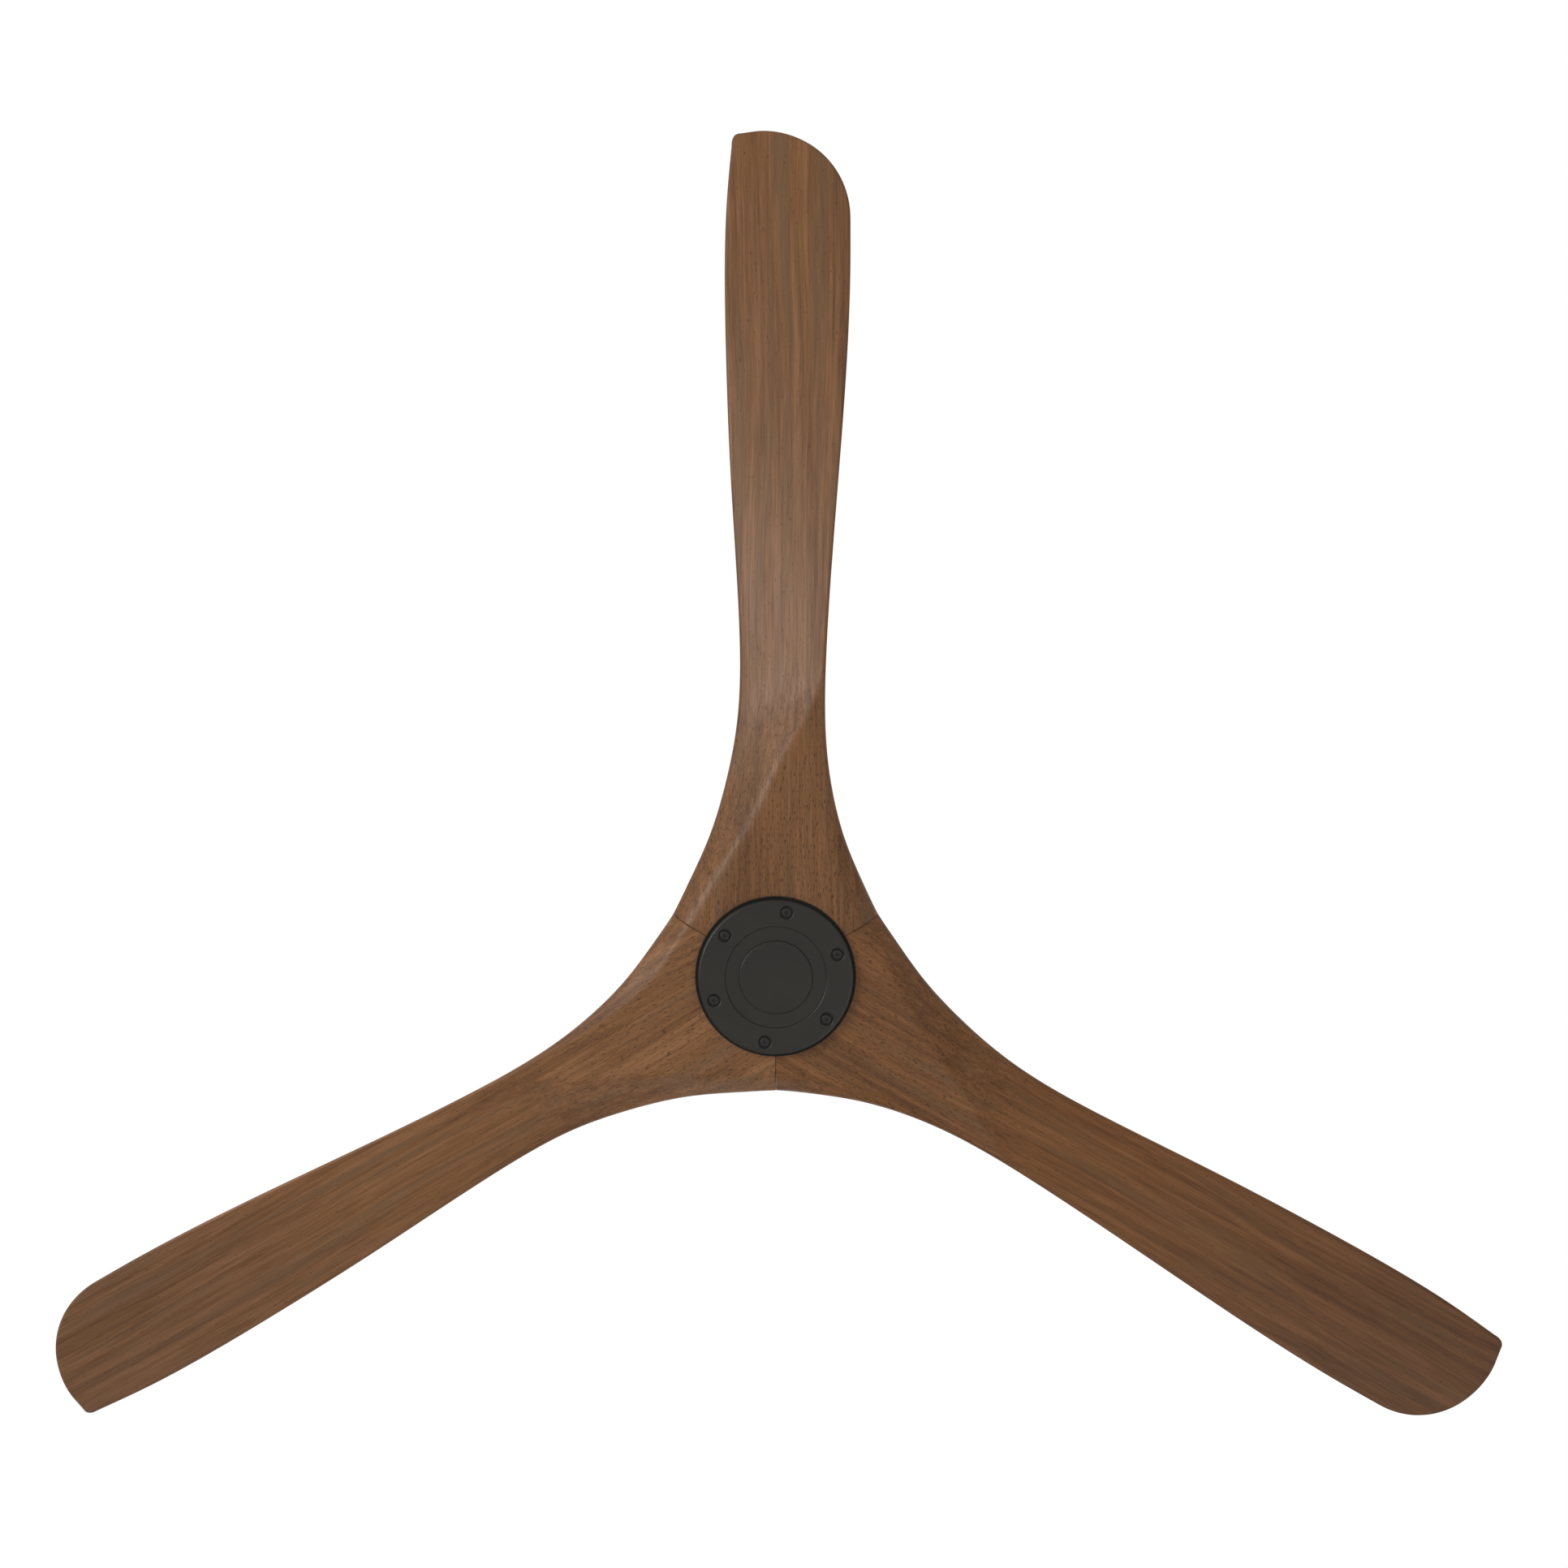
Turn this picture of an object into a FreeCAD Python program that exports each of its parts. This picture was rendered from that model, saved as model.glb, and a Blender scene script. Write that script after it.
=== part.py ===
"""Ceiling fan with a three-blade carved wooden propeller, hung from a short downrod.

Frame: +Z up, origin on the ceiling at the centre of the hanger bracket. The fan hangs down
from z = 0 and the propeller turns about Z. Blade 1 points along +Y. Seen from below the
propeller turns anticlockwise, so each blade's leading edge is on its +X side.
All sizes are in millimetres.
"""
import FreeCAD, Part
import math
import os

from FreeCAD import Vector

# ---------------------------------------------------------------- driving dimensions
# propeller
rotor_diameter = 1524.0  # swept circle of the blade tips, 60 in
blade_count = 3
block_thickness = 42.0  # wooden root block, top face to bottom face
block_bore_radius = 67.0  # round cut-out that the hub passes through
seam_gap = 0.3  # gap between two blade roots
root_length = 260.0  # from the axis to where the root block ends and the free blade starts
tip_arc_radius = 83.0  # round trailing corner of the tip
tip_corner_radius = 7.0  # small leading corner of the tip

# hub that carries the blades
plate_gasket_overlap = 5.5  # how far the black ring round the plate reaches past the wooden bore
plate_gasket_radius = block_bore_radius + plate_gasket_overlap
plate_gasket_rim = 2.4  # width of the ring that shows round the plate
plate_gasket_thickness = 1.6
hub_plate_radius = plate_gasket_radius - plate_gasket_rim
hub_plate_thickness = 7.0
hub_plate_edge = 2.5  # rounding of the visible rim
plate_groove_radii = (33.2, 45.6)  # shallow ring groove in the visible face
plate_groove_depth = 1.3
plate_screw_count = 6
plate_screw_turn = 9.5  # the screw circle is turned this far off the blade axes, degrees
plate_screw_radius = 2.5
plate_screw_head = (4.5, 2.0)  # radius and height
plate_screw_length = 18.0
dimple_radius = 6.9
dimple_floor_radius = 5.6
dimple_depth = 2.4
cap_spigot_radius = 23.0
cap_recess = 2.4
cap_wall = 2.5
cap_edge = 1.2  # rounding of its rim
cap_stand = 0.2  # the cap stands this far below the plate
hub_flange_thickness = 5.0
spigot_wall = 13.4
spigot_clearance = 1.0  # between the wooden bore and the metal spigot
plate_step_radius = block_bore_radius - spigot_clearance + 0.2  # inside it the plate meets the spigot
plate_screw_circle_radius = block_bore_radius - spigot_clearance - spigot_wall / 2
gasket_thickness = 1.0
gasket_half_angle = 52.0  # each pad stops short of the seams, degrees
blade_screw_spread = 38.0  # degrees between neighbouring screws of one blade
blade_screw_radius = 2.0
insert_radius = 4.5
insert_length = 18.0

# motor
drum_radius = 86.0
drum_wall = 10.0
drum_bolt_count = 6
drum_bolt_radius = 2.0
drum_bolt_head_height = 3.4
motor_vent_count = 12
motor_vent_radius = 6.0
blade_screw_circle_radius = drum_radius + 5.5  # the screw heads stand just outside the drum
hub_flange_radius = blade_screw_circle_radius + 6.5
drum_height = 42.0
motor_cover_thickness = 5.0
magnet_thickness = 3.5
magnet_count = 14
magnet_length = 26.0
magnet_cover = 0.86  # share of the drum's inside that the magnets cover
air_gap = 0.8
stack_height = 20.0
tooth_count = 12
tooth_width = 8.0
coil_build = 4.4  # thickness of the copper around a tooth
stator_yoke_radii = (28.0, 38.0)
shaft_radius = 8.5
shaft_bore_radius = 5.5
bearing_outer_radius = 20.0
bearing_width = 12.0
bearing_boss_wall = 7.0
bearing_ball_radius = 3.3
bearing_ball_count = 9
bearing_play = 0.15  # between a ball and its groove
bearing_ring_gap = 4.2  # between inner and outer ring
cage_wall = 1.8
cage_height = 9.2

# casing
housing_wall = 2.0
housing_running_gap = 5.0  # between the turning drum and the casing
housing_radius = drum_radius + housing_running_gap + housing_wall
housing_flat_radius = 30.0
housing_dome_height = 40.0
housing_skirt_height = 33.0
housing_screw_radius = 2.0
housing_screw_circle_radius = 24.0
standoff_circle_radius = 25.0
board_radius = 62.0
board_thickness = 1.6
board_drop = 8.0  # length of the standoffs under the coupling flange

# hanging stem
rod_outer_radius = 10.65
rod_wall = 2.5
rod_length = 152.4  # 6 in downrod
ball_radius = 27.0
ball_centre_drop = 36.0  # ball centre below the ceiling
rod_above_ball_centre = 20.0
cross_pin_radius = 3.0
cross_pin_half_length = 16.5
cross_pin_rise = 12.0  # above the ball's centre
lock_screw_radius = 2.0
lock_screw_rise = 4.0
ball_top_cut = 17.0
ball_groove_width = 6.0
ball_groove_depth = 4.0
clevis_pin_radius = 3.0
clevis_pin_rise = 14.0  # above the downrod's lower end
set_screw_radius = 2.5
set_screw_rise = 24.0
coupling_radius = 17.0
coupling_socket_depth = 32.0
coupling_base_height = 16.6
coupling_flange_radius = 30.0
coupling_flange_thickness = 4.0
cover_top_radius = 19.0
cover_foot_radius = 37.0
cover_wall = 1.5
cover_height = 54.0

# ceiling side
canopy_radius = 70.0
canopy_height = 60.0
canopy_wall = 1.5
canopy_hole_radius = 22.0
canopy_rim_gap = 1.0  # shadow gap between ceiling and canopy
bracket_sheet = 2.5
bracket_width = 40.0
ceiling_screw_spacing = 88.9  # 3.5 in, the holes of a round outlet box
ceiling_slot_radius = 2.75
ceiling_slot_length = 12.0
seat_depth = 12.0  # height of the ring that carries the ball
seat_mouth_width = 25.0  # side opening that lets the downrod in
seat_drop = 6.0  # top of that ring below the ball's centre
tab_width = 5.0
wire_hole_radius = 12.0
canopy_screw_radius = 2.0
canopy_screw_drop = 9.0  # below the ceiling
ground_screw_radius = 2.0
ground_screw_place = (ball_radius - 3.0, -13.0)

# clearances
seat_gap = 0.02  # between pieces pressed or screwed together
slip_gap = 0.15  # between pieces that slide together by hand
ball_gap = 0.3  # between the ball and its seat
stack_gap = 0.3  # between faces that a screw pulls together

# ---------------------------------------------------------------- levels, from the ceiling down
ball_z = -ball_centre_drop
seat_top_z = ball_z - seat_drop
canopy_screw_z = -canopy_screw_drop
cross_pin_z = ball_z + cross_pin_rise
lock_screw_z = ball_z + lock_screw_rise
rod_top_z = ball_z + rod_above_ball_centre
rod_bottom_z = rod_top_z - rod_length
clevis_pin_z = rod_bottom_z + clevis_pin_rise
set_screw_z = rod_bottom_z + set_screw_rise
coupling_top_z = rod_bottom_z + coupling_socket_depth
socket_floor_z = rod_bottom_z - 1.0
flange_bottom_z = socket_floor_z - coupling_base_height - coupling_flange_thickness
flange_top_z = flange_bottom_z + coupling_flange_thickness
housing_top_z = flange_top_z + housing_wall
skirt_top_z = housing_top_z - housing_dome_height
skirt_bottom_z = skirt_top_z - housing_skirt_height
board_top_z = flange_bottom_z - board_drop
boss_top_z = board_top_z - 11.0
motor_cover_top_z = boss_top_z - 5.5
drum_top_z = motor_cover_top_z - motor_cover_thickness
drum_bottom_z = drum_top_z - drum_height
hub_flange_bottom_z = drum_bottom_z - hub_flange_thickness
block_top_z = hub_flange_bottom_z - gasket_thickness
block_bottom_z = block_top_z - block_thickness
plate_bottom_z = block_bottom_z - hub_plate_thickness
stator_middle_z = (drum_top_z + drum_bottom_z) / 2
bearing_lip = 2.5
upper_bearing_top_z = boss_top_z - bearing_lip
lower_bearing_bottom_z = block_bottom_z + 11.0
shaft_bottom_z = lower_bearing_bottom_z - 4.0
tip_radius = rotor_diameter / 2
DOWN = Vector(0, 0, -1)
UP = Vector(0, 0, 1)


# ---------------------------------------------------------------- small helpers
def cylinder(radius, low, high, x=0.0, y=0.0):
    """Upright cylinder between two levels."""
    return Part.makeCylinder(radius, high - low, Vector(x, y, low))


def ring(inner, outer, low, high):
    """Upright tube between two levels."""
    return cylinder(outer, low, high).cut(cylinder(inner, low - 1, high + 1))


def box(x_low, x_high, y_low, y_high, z_low, z_high):
    """Box from its limits along each axis."""
    return Part.makeBox(x_high - x_low, y_high - y_low, z_high - z_low, Vector(x_low, y_low, z_low))


def bar(radius, start, end):
    """Round bar from one point to another."""
    along = end - start
    return Part.makeCylinder(radius, along.Length, start, along)


def revolved(outline):
    """Solid of revolution about Z from (radius, z) points and arcs; an arc is (through, end)."""
    edges = []
    here = outline[0]
    for step in outline[1:]:
        if isinstance(step[0], tuple):
            through, there = step
            edges.append(Part.Arc(*[Vector(r, 0, z) for r, z in (here, through, there)]).toShape())
        else:
            there = step
            edges.append(Part.LineSegment(Vector(here[0], 0, here[1]), Vector(there[0], 0, there[1])).toShape())
        here = there
    first = outline[0]
    if here != first:
        edges.append(Part.LineSegment(Vector(here[0], 0, here[1]), Vector(first[0], 0, first[1])).toShape())
    return Part.Face(Part.Wire(edges)).revolve(Vector(0, 0, 0), UP, 360)


def turned(shape, angle):
    """Copy of a shape, turned about Z by an angle in degrees."""
    copy = shape.copy()
    copy.rotate(Vector(0, 0, 0), UP, angle)
    return copy


def around(shape, count, start=0.0):
    """Equally spaced copies of a shape about Z."""
    return [turned(shape, start + 360.0 * i / count) for i in range(count)]


def on_circle(radius, angle):
    """x and y of a point on a circle about Z, angle in degrees from +X."""
    return radius * math.cos(math.radians(angle)), radius * math.sin(math.radians(angle))


def fused(shapes):
    """One solid from overlapping shapes."""
    return shapes[0].multiFuse(shapes[1:]).removeSplitter()


def sector(middle, half_angle, reach, low, high):
    """Upright wedge from the axis, half_angle degrees each side of a direction."""
    far = reach / math.cos(math.radians(half_angle))
    corners = [on_circle(far, middle - half_angle), on_circle(far, middle + half_angle)]
    points = [Vector(0, 0, low)] + [Vector(x, y, low) for x, y in corners] + [Vector(0, 0, low)]
    return Part.Face(Part.makePolygon(points)).extrude(Vector(0, 0, high - low))


def hex_prism(across_flats, low, high, x=0.0, y=0.0):
    """Upright hexagon bar, for sockets and nuts."""
    corner = across_flats / math.sqrt(3)
    turns = [i * math.pi / 3 for i in range(7)]
    points = [Vector(x + corner * math.cos(t), y + corner * math.sin(t), low) for t in turns]
    return Part.Face(Part.makePolygon(points)).extrude(Vector(0, 0, high - low))


def button_screw(shank, head, head_height, length, x, y, seat_z, upward_head):
    """Socket button screw whose head sits on seat_z, with its head up or down."""
    way = 1 if upward_head else -1
    stem = cylinder(shank, min(seat_z, seat_z - way * length), max(seat_z, seat_z - way * length), x, y)
    top = cylinder(head, min(seat_z, seat_z + way * head_height), max(seat_z, seat_z + way * head_height), x, y)
    crown = seat_z + way * head_height
    rim = [e for e in top.Edges if abs(e.BoundBox.ZMin - crown) < 1e-6 and e.BoundBox.ZLength < 1e-6]
    top = top.makeFillet(head_height * 0.6, rim)
    socket_floor = seat_z + way * head_height * 0.3
    socket_mouth = seat_z + way * (head_height + 1)
    socket = hex_prism(shank * 1.25, min(socket_floor, socket_mouth), max(socket_floor, socket_mouth), x, y)
    return fused([stem, top]).cut(socket)


# ---------------------------------------------------------------- blade
def along(share):
    """Distance from the axis at a share of the free blade's length."""
    return root_length + share * (tip_radius - root_length)


# Edges of the blade seen from above: distance from the axis, x. They are the plan outline.
leading_edge = [
    (36, 104), (54, 93.8), (80, 81), (120, 62.8), (160, 49.6), (200, 40.2), (235, 35),
    (along(0.05), 32.8), (along(0.16), 34.5), (along(0.40), 41.5), (along(0.60), 45.2), (along(0.76), 46.2),
    (along(0.88), 44.2), (along(0.976), 39.8),
]
trailing_edge = [
    (36, -104), (54, -93.8), (80, -81.2), (120, -64.2), (160, -53), (200, -46.8), (235, -44.8),
    (along(0.07), -45.9), (along(0.24), -51.2), (along(0.44), -59), (along(0.64), -65.4), (along(0.75), -67),
    (along(0.835), -67),
]
# Sloping faces that carve the block: distance from the axis, x and height of the crease or edge
# that the face starts from, and its rise per mm across the blade. Height 0 is the block's bottom.
lower_face = [
    (20, 95, 0, 0.82), (54, 76, 0, 0.86), (100, 48, 0, 0.84), (150, 17, 0, 0.72), (200, -7, 0, 0.60),
    (root_length, -40, 0, 0.44), (along(0.08), -46.3, 0, 0.40), (along(0.4), -58, 2.5, 0.285),
    (along(0.72), -67, 5, 0.212), (along(1.0), -67, 8, 0.17), (along(1.04), -67, 8.4, 0.165),
]
lower_bevel = [
    (20, -95, 0, 0.82), (54, -76, 0, 0.86), (100, -53, 0, 0.55), (150, -42, 0, 0.40), (200, -41, 0, 0.33),
    (root_length, -46, 0, 0.3), (along(0.08), -53, 0, 0.3), (along(0.4), -66, 0, 0.3),
    (along(0.72), -75, 0, 0.3), (along(1.0), -78, 0, 0.3), (along(1.04), -78, 0, 0.3),
]
upper_face = [
    (20, -95, 0, 0.82), (54, -76, 0, 0.86), (100, -48, 0, 0.82), (150, -18, 0, 0.67), (200, 4, 0, 0.60),
    (root_length, 8, -4.3, 0.56), (along(0.08), 0, -8.2, 0.58), (along(0.4), -4, -11, 0.425),
    (along(0.72), -6, -12.6, 0.318), (along(1.0), -6, -14.6, 0.244), (along(1.04), -6, -14.8, 0.24),
]
upper_bevel = [
    (20, 95, 0, 0.82), (54, 76, 0, 0.86), (100, 53, 0, 0.66), (150, 41, 0, 0.60), (200, 26, 0, 0.34),
    (root_length, 8, -4.3, 0.0), (along(0.08), 0, -8.2, -0.13), (along(0.4), -4, -11, -0.132),
    (along(0.72), -6, -12.6, -0.1), (along(1.0), -6, -14.6, -0.08), (along(1.04), -6, -14.8, -0.08),
]


def spline(points):
    """Smooth curve through points."""
    curve = Part.BSplineCurve()
    curve.interpolate(points)
    return curve.toShape()


def blade_outline():
    """Flat face of the blade's plan shape at height 0."""
    leading = [Vector(x, y, 0) for y, x in leading_edge]
    trailing = [Vector(x, y, 0) for y, x in trailing_edge]
    corner_low, widest = leading[-1], trailing[-1]
    apex = Vector(widest.x + tip_arc_radius, tip_radius, 0)
    corner_high = Vector(corner_low.x - tip_corner_radius, tip_radius - 1.2, 0)
    corner_middle = Vector(corner_low.x - 0.22 * tip_corner_radius, corner_high.y - 0.36 * tip_corner_radius, 0)
    drop = (1 - math.sqrt(0.5)) * tip_arc_radius
    arc_middle = Vector(widest.x + drop, widest.y + (tip_radius - widest.y) * math.sqrt(0.5), 0)
    return Part.Face(Part.Wire([
        spline(leading),
        Part.Arc(corner_low, corner_middle, corner_high).toShape(),
        Part.LineSegment(corner_high, apex).toShape(),
        Part.Arc(apex, arc_middle, widest).toShape(),
        spline(trailing[::-1]),
        Part.LineSegment(trailing[0], leading[0]).toShape(),
    ]))


def sloped_half(stations, base, side, way):
    """Everything above (way 1) or below (way -1) a sloping face.

    The face passes through each station's start point and changes by its slope per mm towards
    side, which is 1 for the leading edge and -1 for the trailing edge.
    """
    reach = 170.0
    edges = []
    for end in (-1, 1):
        points = []
        for y, x, height, slope in stations:
            shift = end * reach
            points.append(Vector(x + shift, y, base + height + way * side * slope * shift))
        edges.append(spline(points))
    face = Part.makeRuledSurface(edges[0], edges[1])
    return face.extrude(Vector(0, 0, way * 500.0))


def wood_blade():
    """One blade with its root block, pointing along +Y, block bottom at height 0."""
    body = blade_outline().extrude(Vector(0, 0, block_thickness))
    half_gap = seam_gap / 2 / math.cos(math.radians(30))
    side = 400.0
    # two seam planes, 60 degrees each side of the blade's axis
    wedge = Part.Face(Part.makePolygon([
        Vector(0, half_gap, -1),
        Vector(side * math.cos(math.radians(30)), half_gap + side / 2, -1),
        Vector(side * math.cos(math.radians(30)), 2 * side + tip_radius, -1),
        Vector(-side * math.cos(math.radians(30)), 2 * side + tip_radius, -1),
        Vector(-side * math.cos(math.radians(30)), half_gap + side / 2, -1),
        Vector(0, half_gap, -1),
    ])).extrude(Vector(0, 0, block_thickness + 2))
    body = body.common(wedge).cut(cylinder(block_bore_radius, -1, block_thickness + 1))
    body = body.common(sloped_half(lower_face, 0.0, 1, 1))
    body = body.common(sloped_half(lower_bevel, 0.0, -1, 1))
    body = body.common(sloped_half(upper_face, block_thickness, -1, -1))
    body = body.common(sloped_half(upper_bevel, block_thickness, 1, -1))
    for angle in blade_screw_angles():
        x, y = on_circle(blade_screw_circle_radius, angle)
        pocket_floor = block_thickness - insert_length - 1
        body = body.cut(cylinder(insert_radius + seat_gap, pocket_floor, block_thickness + 1, x, y))
    return body.Solids[0]


def blade_screw_angles(blade=0):
    """Directions of one blade's screws, degrees from +X; the blades are 120 degrees apart."""
    middle = 90.0 + blade * 360.0 / blade_count
    return [middle - blade_screw_spread, middle, middle + blade_screw_spread]


def all_blade_screw_places():
    """x and y of every blade screw."""
    angles = [angle for blade in range(blade_count) for angle in blade_screw_angles(blade)]
    return [on_circle(blade_screw_circle_radius, angle) for angle in angles]


def placed_blade(index):
    """Blade at its place on the hub."""
    body = wood_blade()
    body.translate(Vector(0, 0, block_bottom_z))
    return turned(body, index * 360.0 / blade_count)


def blade_inserts():
    """Brass inserts in the wood that the blade screws bite into."""
    return [
        cylinder(insert_radius, block_top_z - insert_length, block_top_z - 0.3, x, y)
        .cut(cylinder(blade_screw_radius + seat_gap, block_top_z - insert_length + 2, block_top_z, x, y))
        for x, y in all_blade_screw_places()
    ]


def blade_screws():
    """Screws through the hub flange into the blades."""
    length = hub_flange_thickness + gasket_thickness + insert_length - 5
    return [
        button_screw(blade_screw_radius, 4.2, 2.4, length, x, y, drum_bottom_z, True)
        for x, y in all_blade_screw_places()
    ]


def blade_gaskets():
    """Thin rubber pads between the hub flange and each blade root."""
    low, high = hub_flange_bottom_z - gasket_thickness, hub_flange_bottom_z
    pad = ring(block_bore_radius + 2, hub_flange_radius - 1, low, high)
    pad = pad.common(sector(90.0, gasket_half_angle, hub_flange_radius + 10, low - 1, high + 1))
    for angle in blade_screw_angles():
        x, y = on_circle(blade_screw_circle_radius, angle)
        pad = pad.cut(cylinder(blade_screw_radius + 0.6, low - 1, high + 1, x, y))
    return around(pad, blade_count)


# ---------------------------------------------------------------- hub
def plate_screw_places():
    """x and y of the six screws in the visible plate."""
    first = 90.0 + plate_screw_turn
    step = 360.0 / plate_screw_count
    return [on_circle(plate_screw_circle_radius, first + i * step) for i in range(plate_screw_count)]


def hub_plate():
    """Visible round plate under the blade roots, with a ring groove and dimples for its screws."""
    top, low, edge = block_bottom_z, plate_bottom_z, hub_plate_edge
    inner, outer = plate_groove_radii
    step = top - plate_gasket_thickness
    groove = low + plate_groove_depth
    share = 1 - math.sqrt(0.5)
    corner = edge * share
    body = revolved([
        (cap_spigot_radius + slip_gap, top), (plate_step_radius, top), (plate_step_radius, step),
        (hub_plate_radius - 0.4, step), (hub_plate_radius, step - 0.4), (hub_plate_radius, low + edge),
        ((hub_plate_radius - corner, low + corner), (hub_plate_radius - edge, low)),
        (outer + plate_groove_depth, low),
        ((outer + plate_groove_depth * share, low + plate_groove_depth * share), (outer, groove)),
        (inner, groove), (inner, low + cap_recess),
        (cap_spigot_radius + slip_gap, low + cap_recess),
    ])
    flare = dimple_radius - dimple_floor_radius
    dimple = revolved([
        (0, low - 1), (dimple_radius, low - 1), (dimple_radius, low),
        ((dimple_floor_radius + 0.35 * flare, low + 0.32 * flare), (dimple_floor_radius, low + 1.15 * flare)),
        (dimple_floor_radius, low + dimple_depth), (0, low + dimple_depth),
    ])
    for x, y in plate_screw_places():
        body = body.cut(dimple.translated(Vector(x, y, 0)))
        body = body.cut(cylinder(plate_screw_radius + slip_gap, low, top + 1, x, y))
    return body


def plate_gasket():
    """Black rubber ring between the plate and the wood, its rim showing round the plate."""
    low = block_bottom_z - plate_gasket_thickness
    return ring(plate_step_radius + slip_gap, plate_gasket_radius, low, block_bottom_z)


def plate_screws():
    """Button screws that hold the plate to the hub spigot."""
    seat = plate_bottom_z + dimple_depth
    return [
        button_screw(plate_screw_radius, *plate_screw_head, plate_screw_length, x, y, seat, False)
        for x, y in plate_screw_places()
    ]


def centre_cap():
    """Plug over the shaft end, flush with the middle of the plate."""
    low = plate_bottom_z - cap_stand
    rim = plate_groove_radii[0] - slip_gap
    seat = plate_bottom_z + cap_recess
    end = block_bottom_z - 0.5
    share = 1 - math.sqrt(0.5)
    return revolved([
        (0, low), (rim - cap_edge, low), ((rim - cap_edge * share, low + cap_edge * share), (rim, low + cap_edge)),
        (rim, seat), (cap_spigot_radius, seat),
        (cap_spigot_radius, end), (cap_spigot_radius - cap_wall, end), (cap_spigot_radius - cap_wall, seat), (0, seat),
    ])


def blade_hub():
    """Cast hub: flange above the blades, spigot through them, bearing seat in the middle."""
    spigot_outer = block_bore_radius - spigot_clearance
    spigot_inner = spigot_outer - spigot_wall
    low = block_bottom_z + stack_gap
    boss = bearing_outer_radius + bearing_boss_wall
    seat = bearing_outer_radius + seat_gap
    shoulder = lower_bearing_bottom_z + bearing_width
    body = revolved([
        (shaft_radius + 4.5, drum_bottom_z), (hub_flange_radius - 1, drum_bottom_z),
        (hub_flange_radius, drum_bottom_z - 1), (hub_flange_radius, hub_flange_bottom_z),
        (spigot_outer, hub_flange_bottom_z), (spigot_outer, low),
        (spigot_inner, low), (spigot_inner, hub_flange_bottom_z), (boss, hub_flange_bottom_z),
        (boss, lower_bearing_bottom_z - 4), (seat, lower_bearing_bottom_z - 4), (seat, shoulder),
        (shaft_radius + 6.5, shoulder), (shaft_radius + 6.5, shoulder + 3), (shaft_radius + 4.5, shoulder + 3),
    ])
    rib = box(boss - 1, spigot_inner + 1, -1.5, 1.5, low + 12, hub_flange_bottom_z + 1)
    body = fused([body] + around(rib, plate_screw_count, plate_screw_turn))
    holes = [cylinder(plate_screw_radius + seat_gap, low - 1, low + 16, x, y) for x, y in plate_screw_places()]
    holes += [cylinder(blade_screw_radius + 0.3, hub_flange_bottom_z - 1, drum_bottom_z + 1, x, y)
              for x, y in all_blade_screw_places()]
    holes += [cylinder(drum_bolt_radius + seat_gap, drum_bottom_z - 4.5, drum_bottom_z + 1, x, y)
              for x, y in drum_bolt_places()]
    return body.cut(holes[0].multiFuse(holes[1:]))


# ---------------------------------------------------------------- motor
def drum_bolt_places():
    """x and y of the long bolts that clamp the drum."""
    radius = drum_radius - drum_wall / 2
    return [on_circle(radius, 15 + i * 360.0 / drum_bolt_count) for i in range(drum_bolt_count)]


def motor_drum():
    """Outer ring of the motor, which carries the magnets and turns with the blades."""
    body = ring(drum_radius - drum_wall, drum_radius, drum_bottom_z, drum_top_z)
    hole = drum_bolt_radius + slip_gap
    holes = [cylinder(hole, drum_bottom_z - 1, drum_top_z + 1, x, y) for x, y in drum_bolt_places()]
    return body.cut(holes[0].multiFuse(holes[1:]))


def magnets():
    """Curved magnets bonded inside the drum."""
    outer = drum_radius - drum_wall - seat_gap
    reach = magnet_length / 2
    tile = ring(outer - magnet_thickness, outer, stator_middle_z - reach, stator_middle_z + reach)
    half_angle = 180.0 / magnet_count * magnet_cover
    tile = tile.common(sector(0.0, half_angle, outer + 10, drum_bottom_z, drum_top_z))
    return around(tile, magnet_count)


def motor_top_cover():
    """Round lid of the motor with the upper bearing seat."""
    boss = bearing_outer_radius + bearing_boss_wall
    seat = bearing_outer_radius + seat_gap
    body = revolved([
        (shaft_radius + 6.5, boss_top_z), (boss - 2, boss_top_z), (boss, boss_top_z - 2),
        (boss, motor_cover_top_z), (drum_radius - 2, motor_cover_top_z), (drum_radius, motor_cover_top_z - 2),
        (drum_radius, drum_top_z), (boss, drum_top_z),
        (boss, upper_bearing_top_z - bearing_width), (seat, upper_bearing_top_z - bearing_width),
        (seat, upper_bearing_top_z), (shaft_radius + 6.5, upper_bearing_top_z),
    ])
    vent_x = (boss + drum_radius - drum_wall) / 2
    low, high = drum_top_z - 1, motor_cover_top_z + 1
    vents = around(cylinder(motor_vent_radius, low, high, vent_x, 0), motor_vent_count, 15)
    holes = [cylinder(drum_bolt_radius + slip_gap, low, high, x, y) for x, y in drum_bolt_places()]
    return body.cut(holes[0].multiFuse(holes[1:] + vents))


def drum_bolts():
    """Long bolts through lid and drum into the hub flange."""
    length = motor_cover_thickness + drum_height + 4
    return [
        button_screw(drum_bolt_radius, 3.5, drum_bolt_head_height, length, x, y, motor_cover_top_z, True)
        for x, y in drum_bolt_places()
    ]


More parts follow.
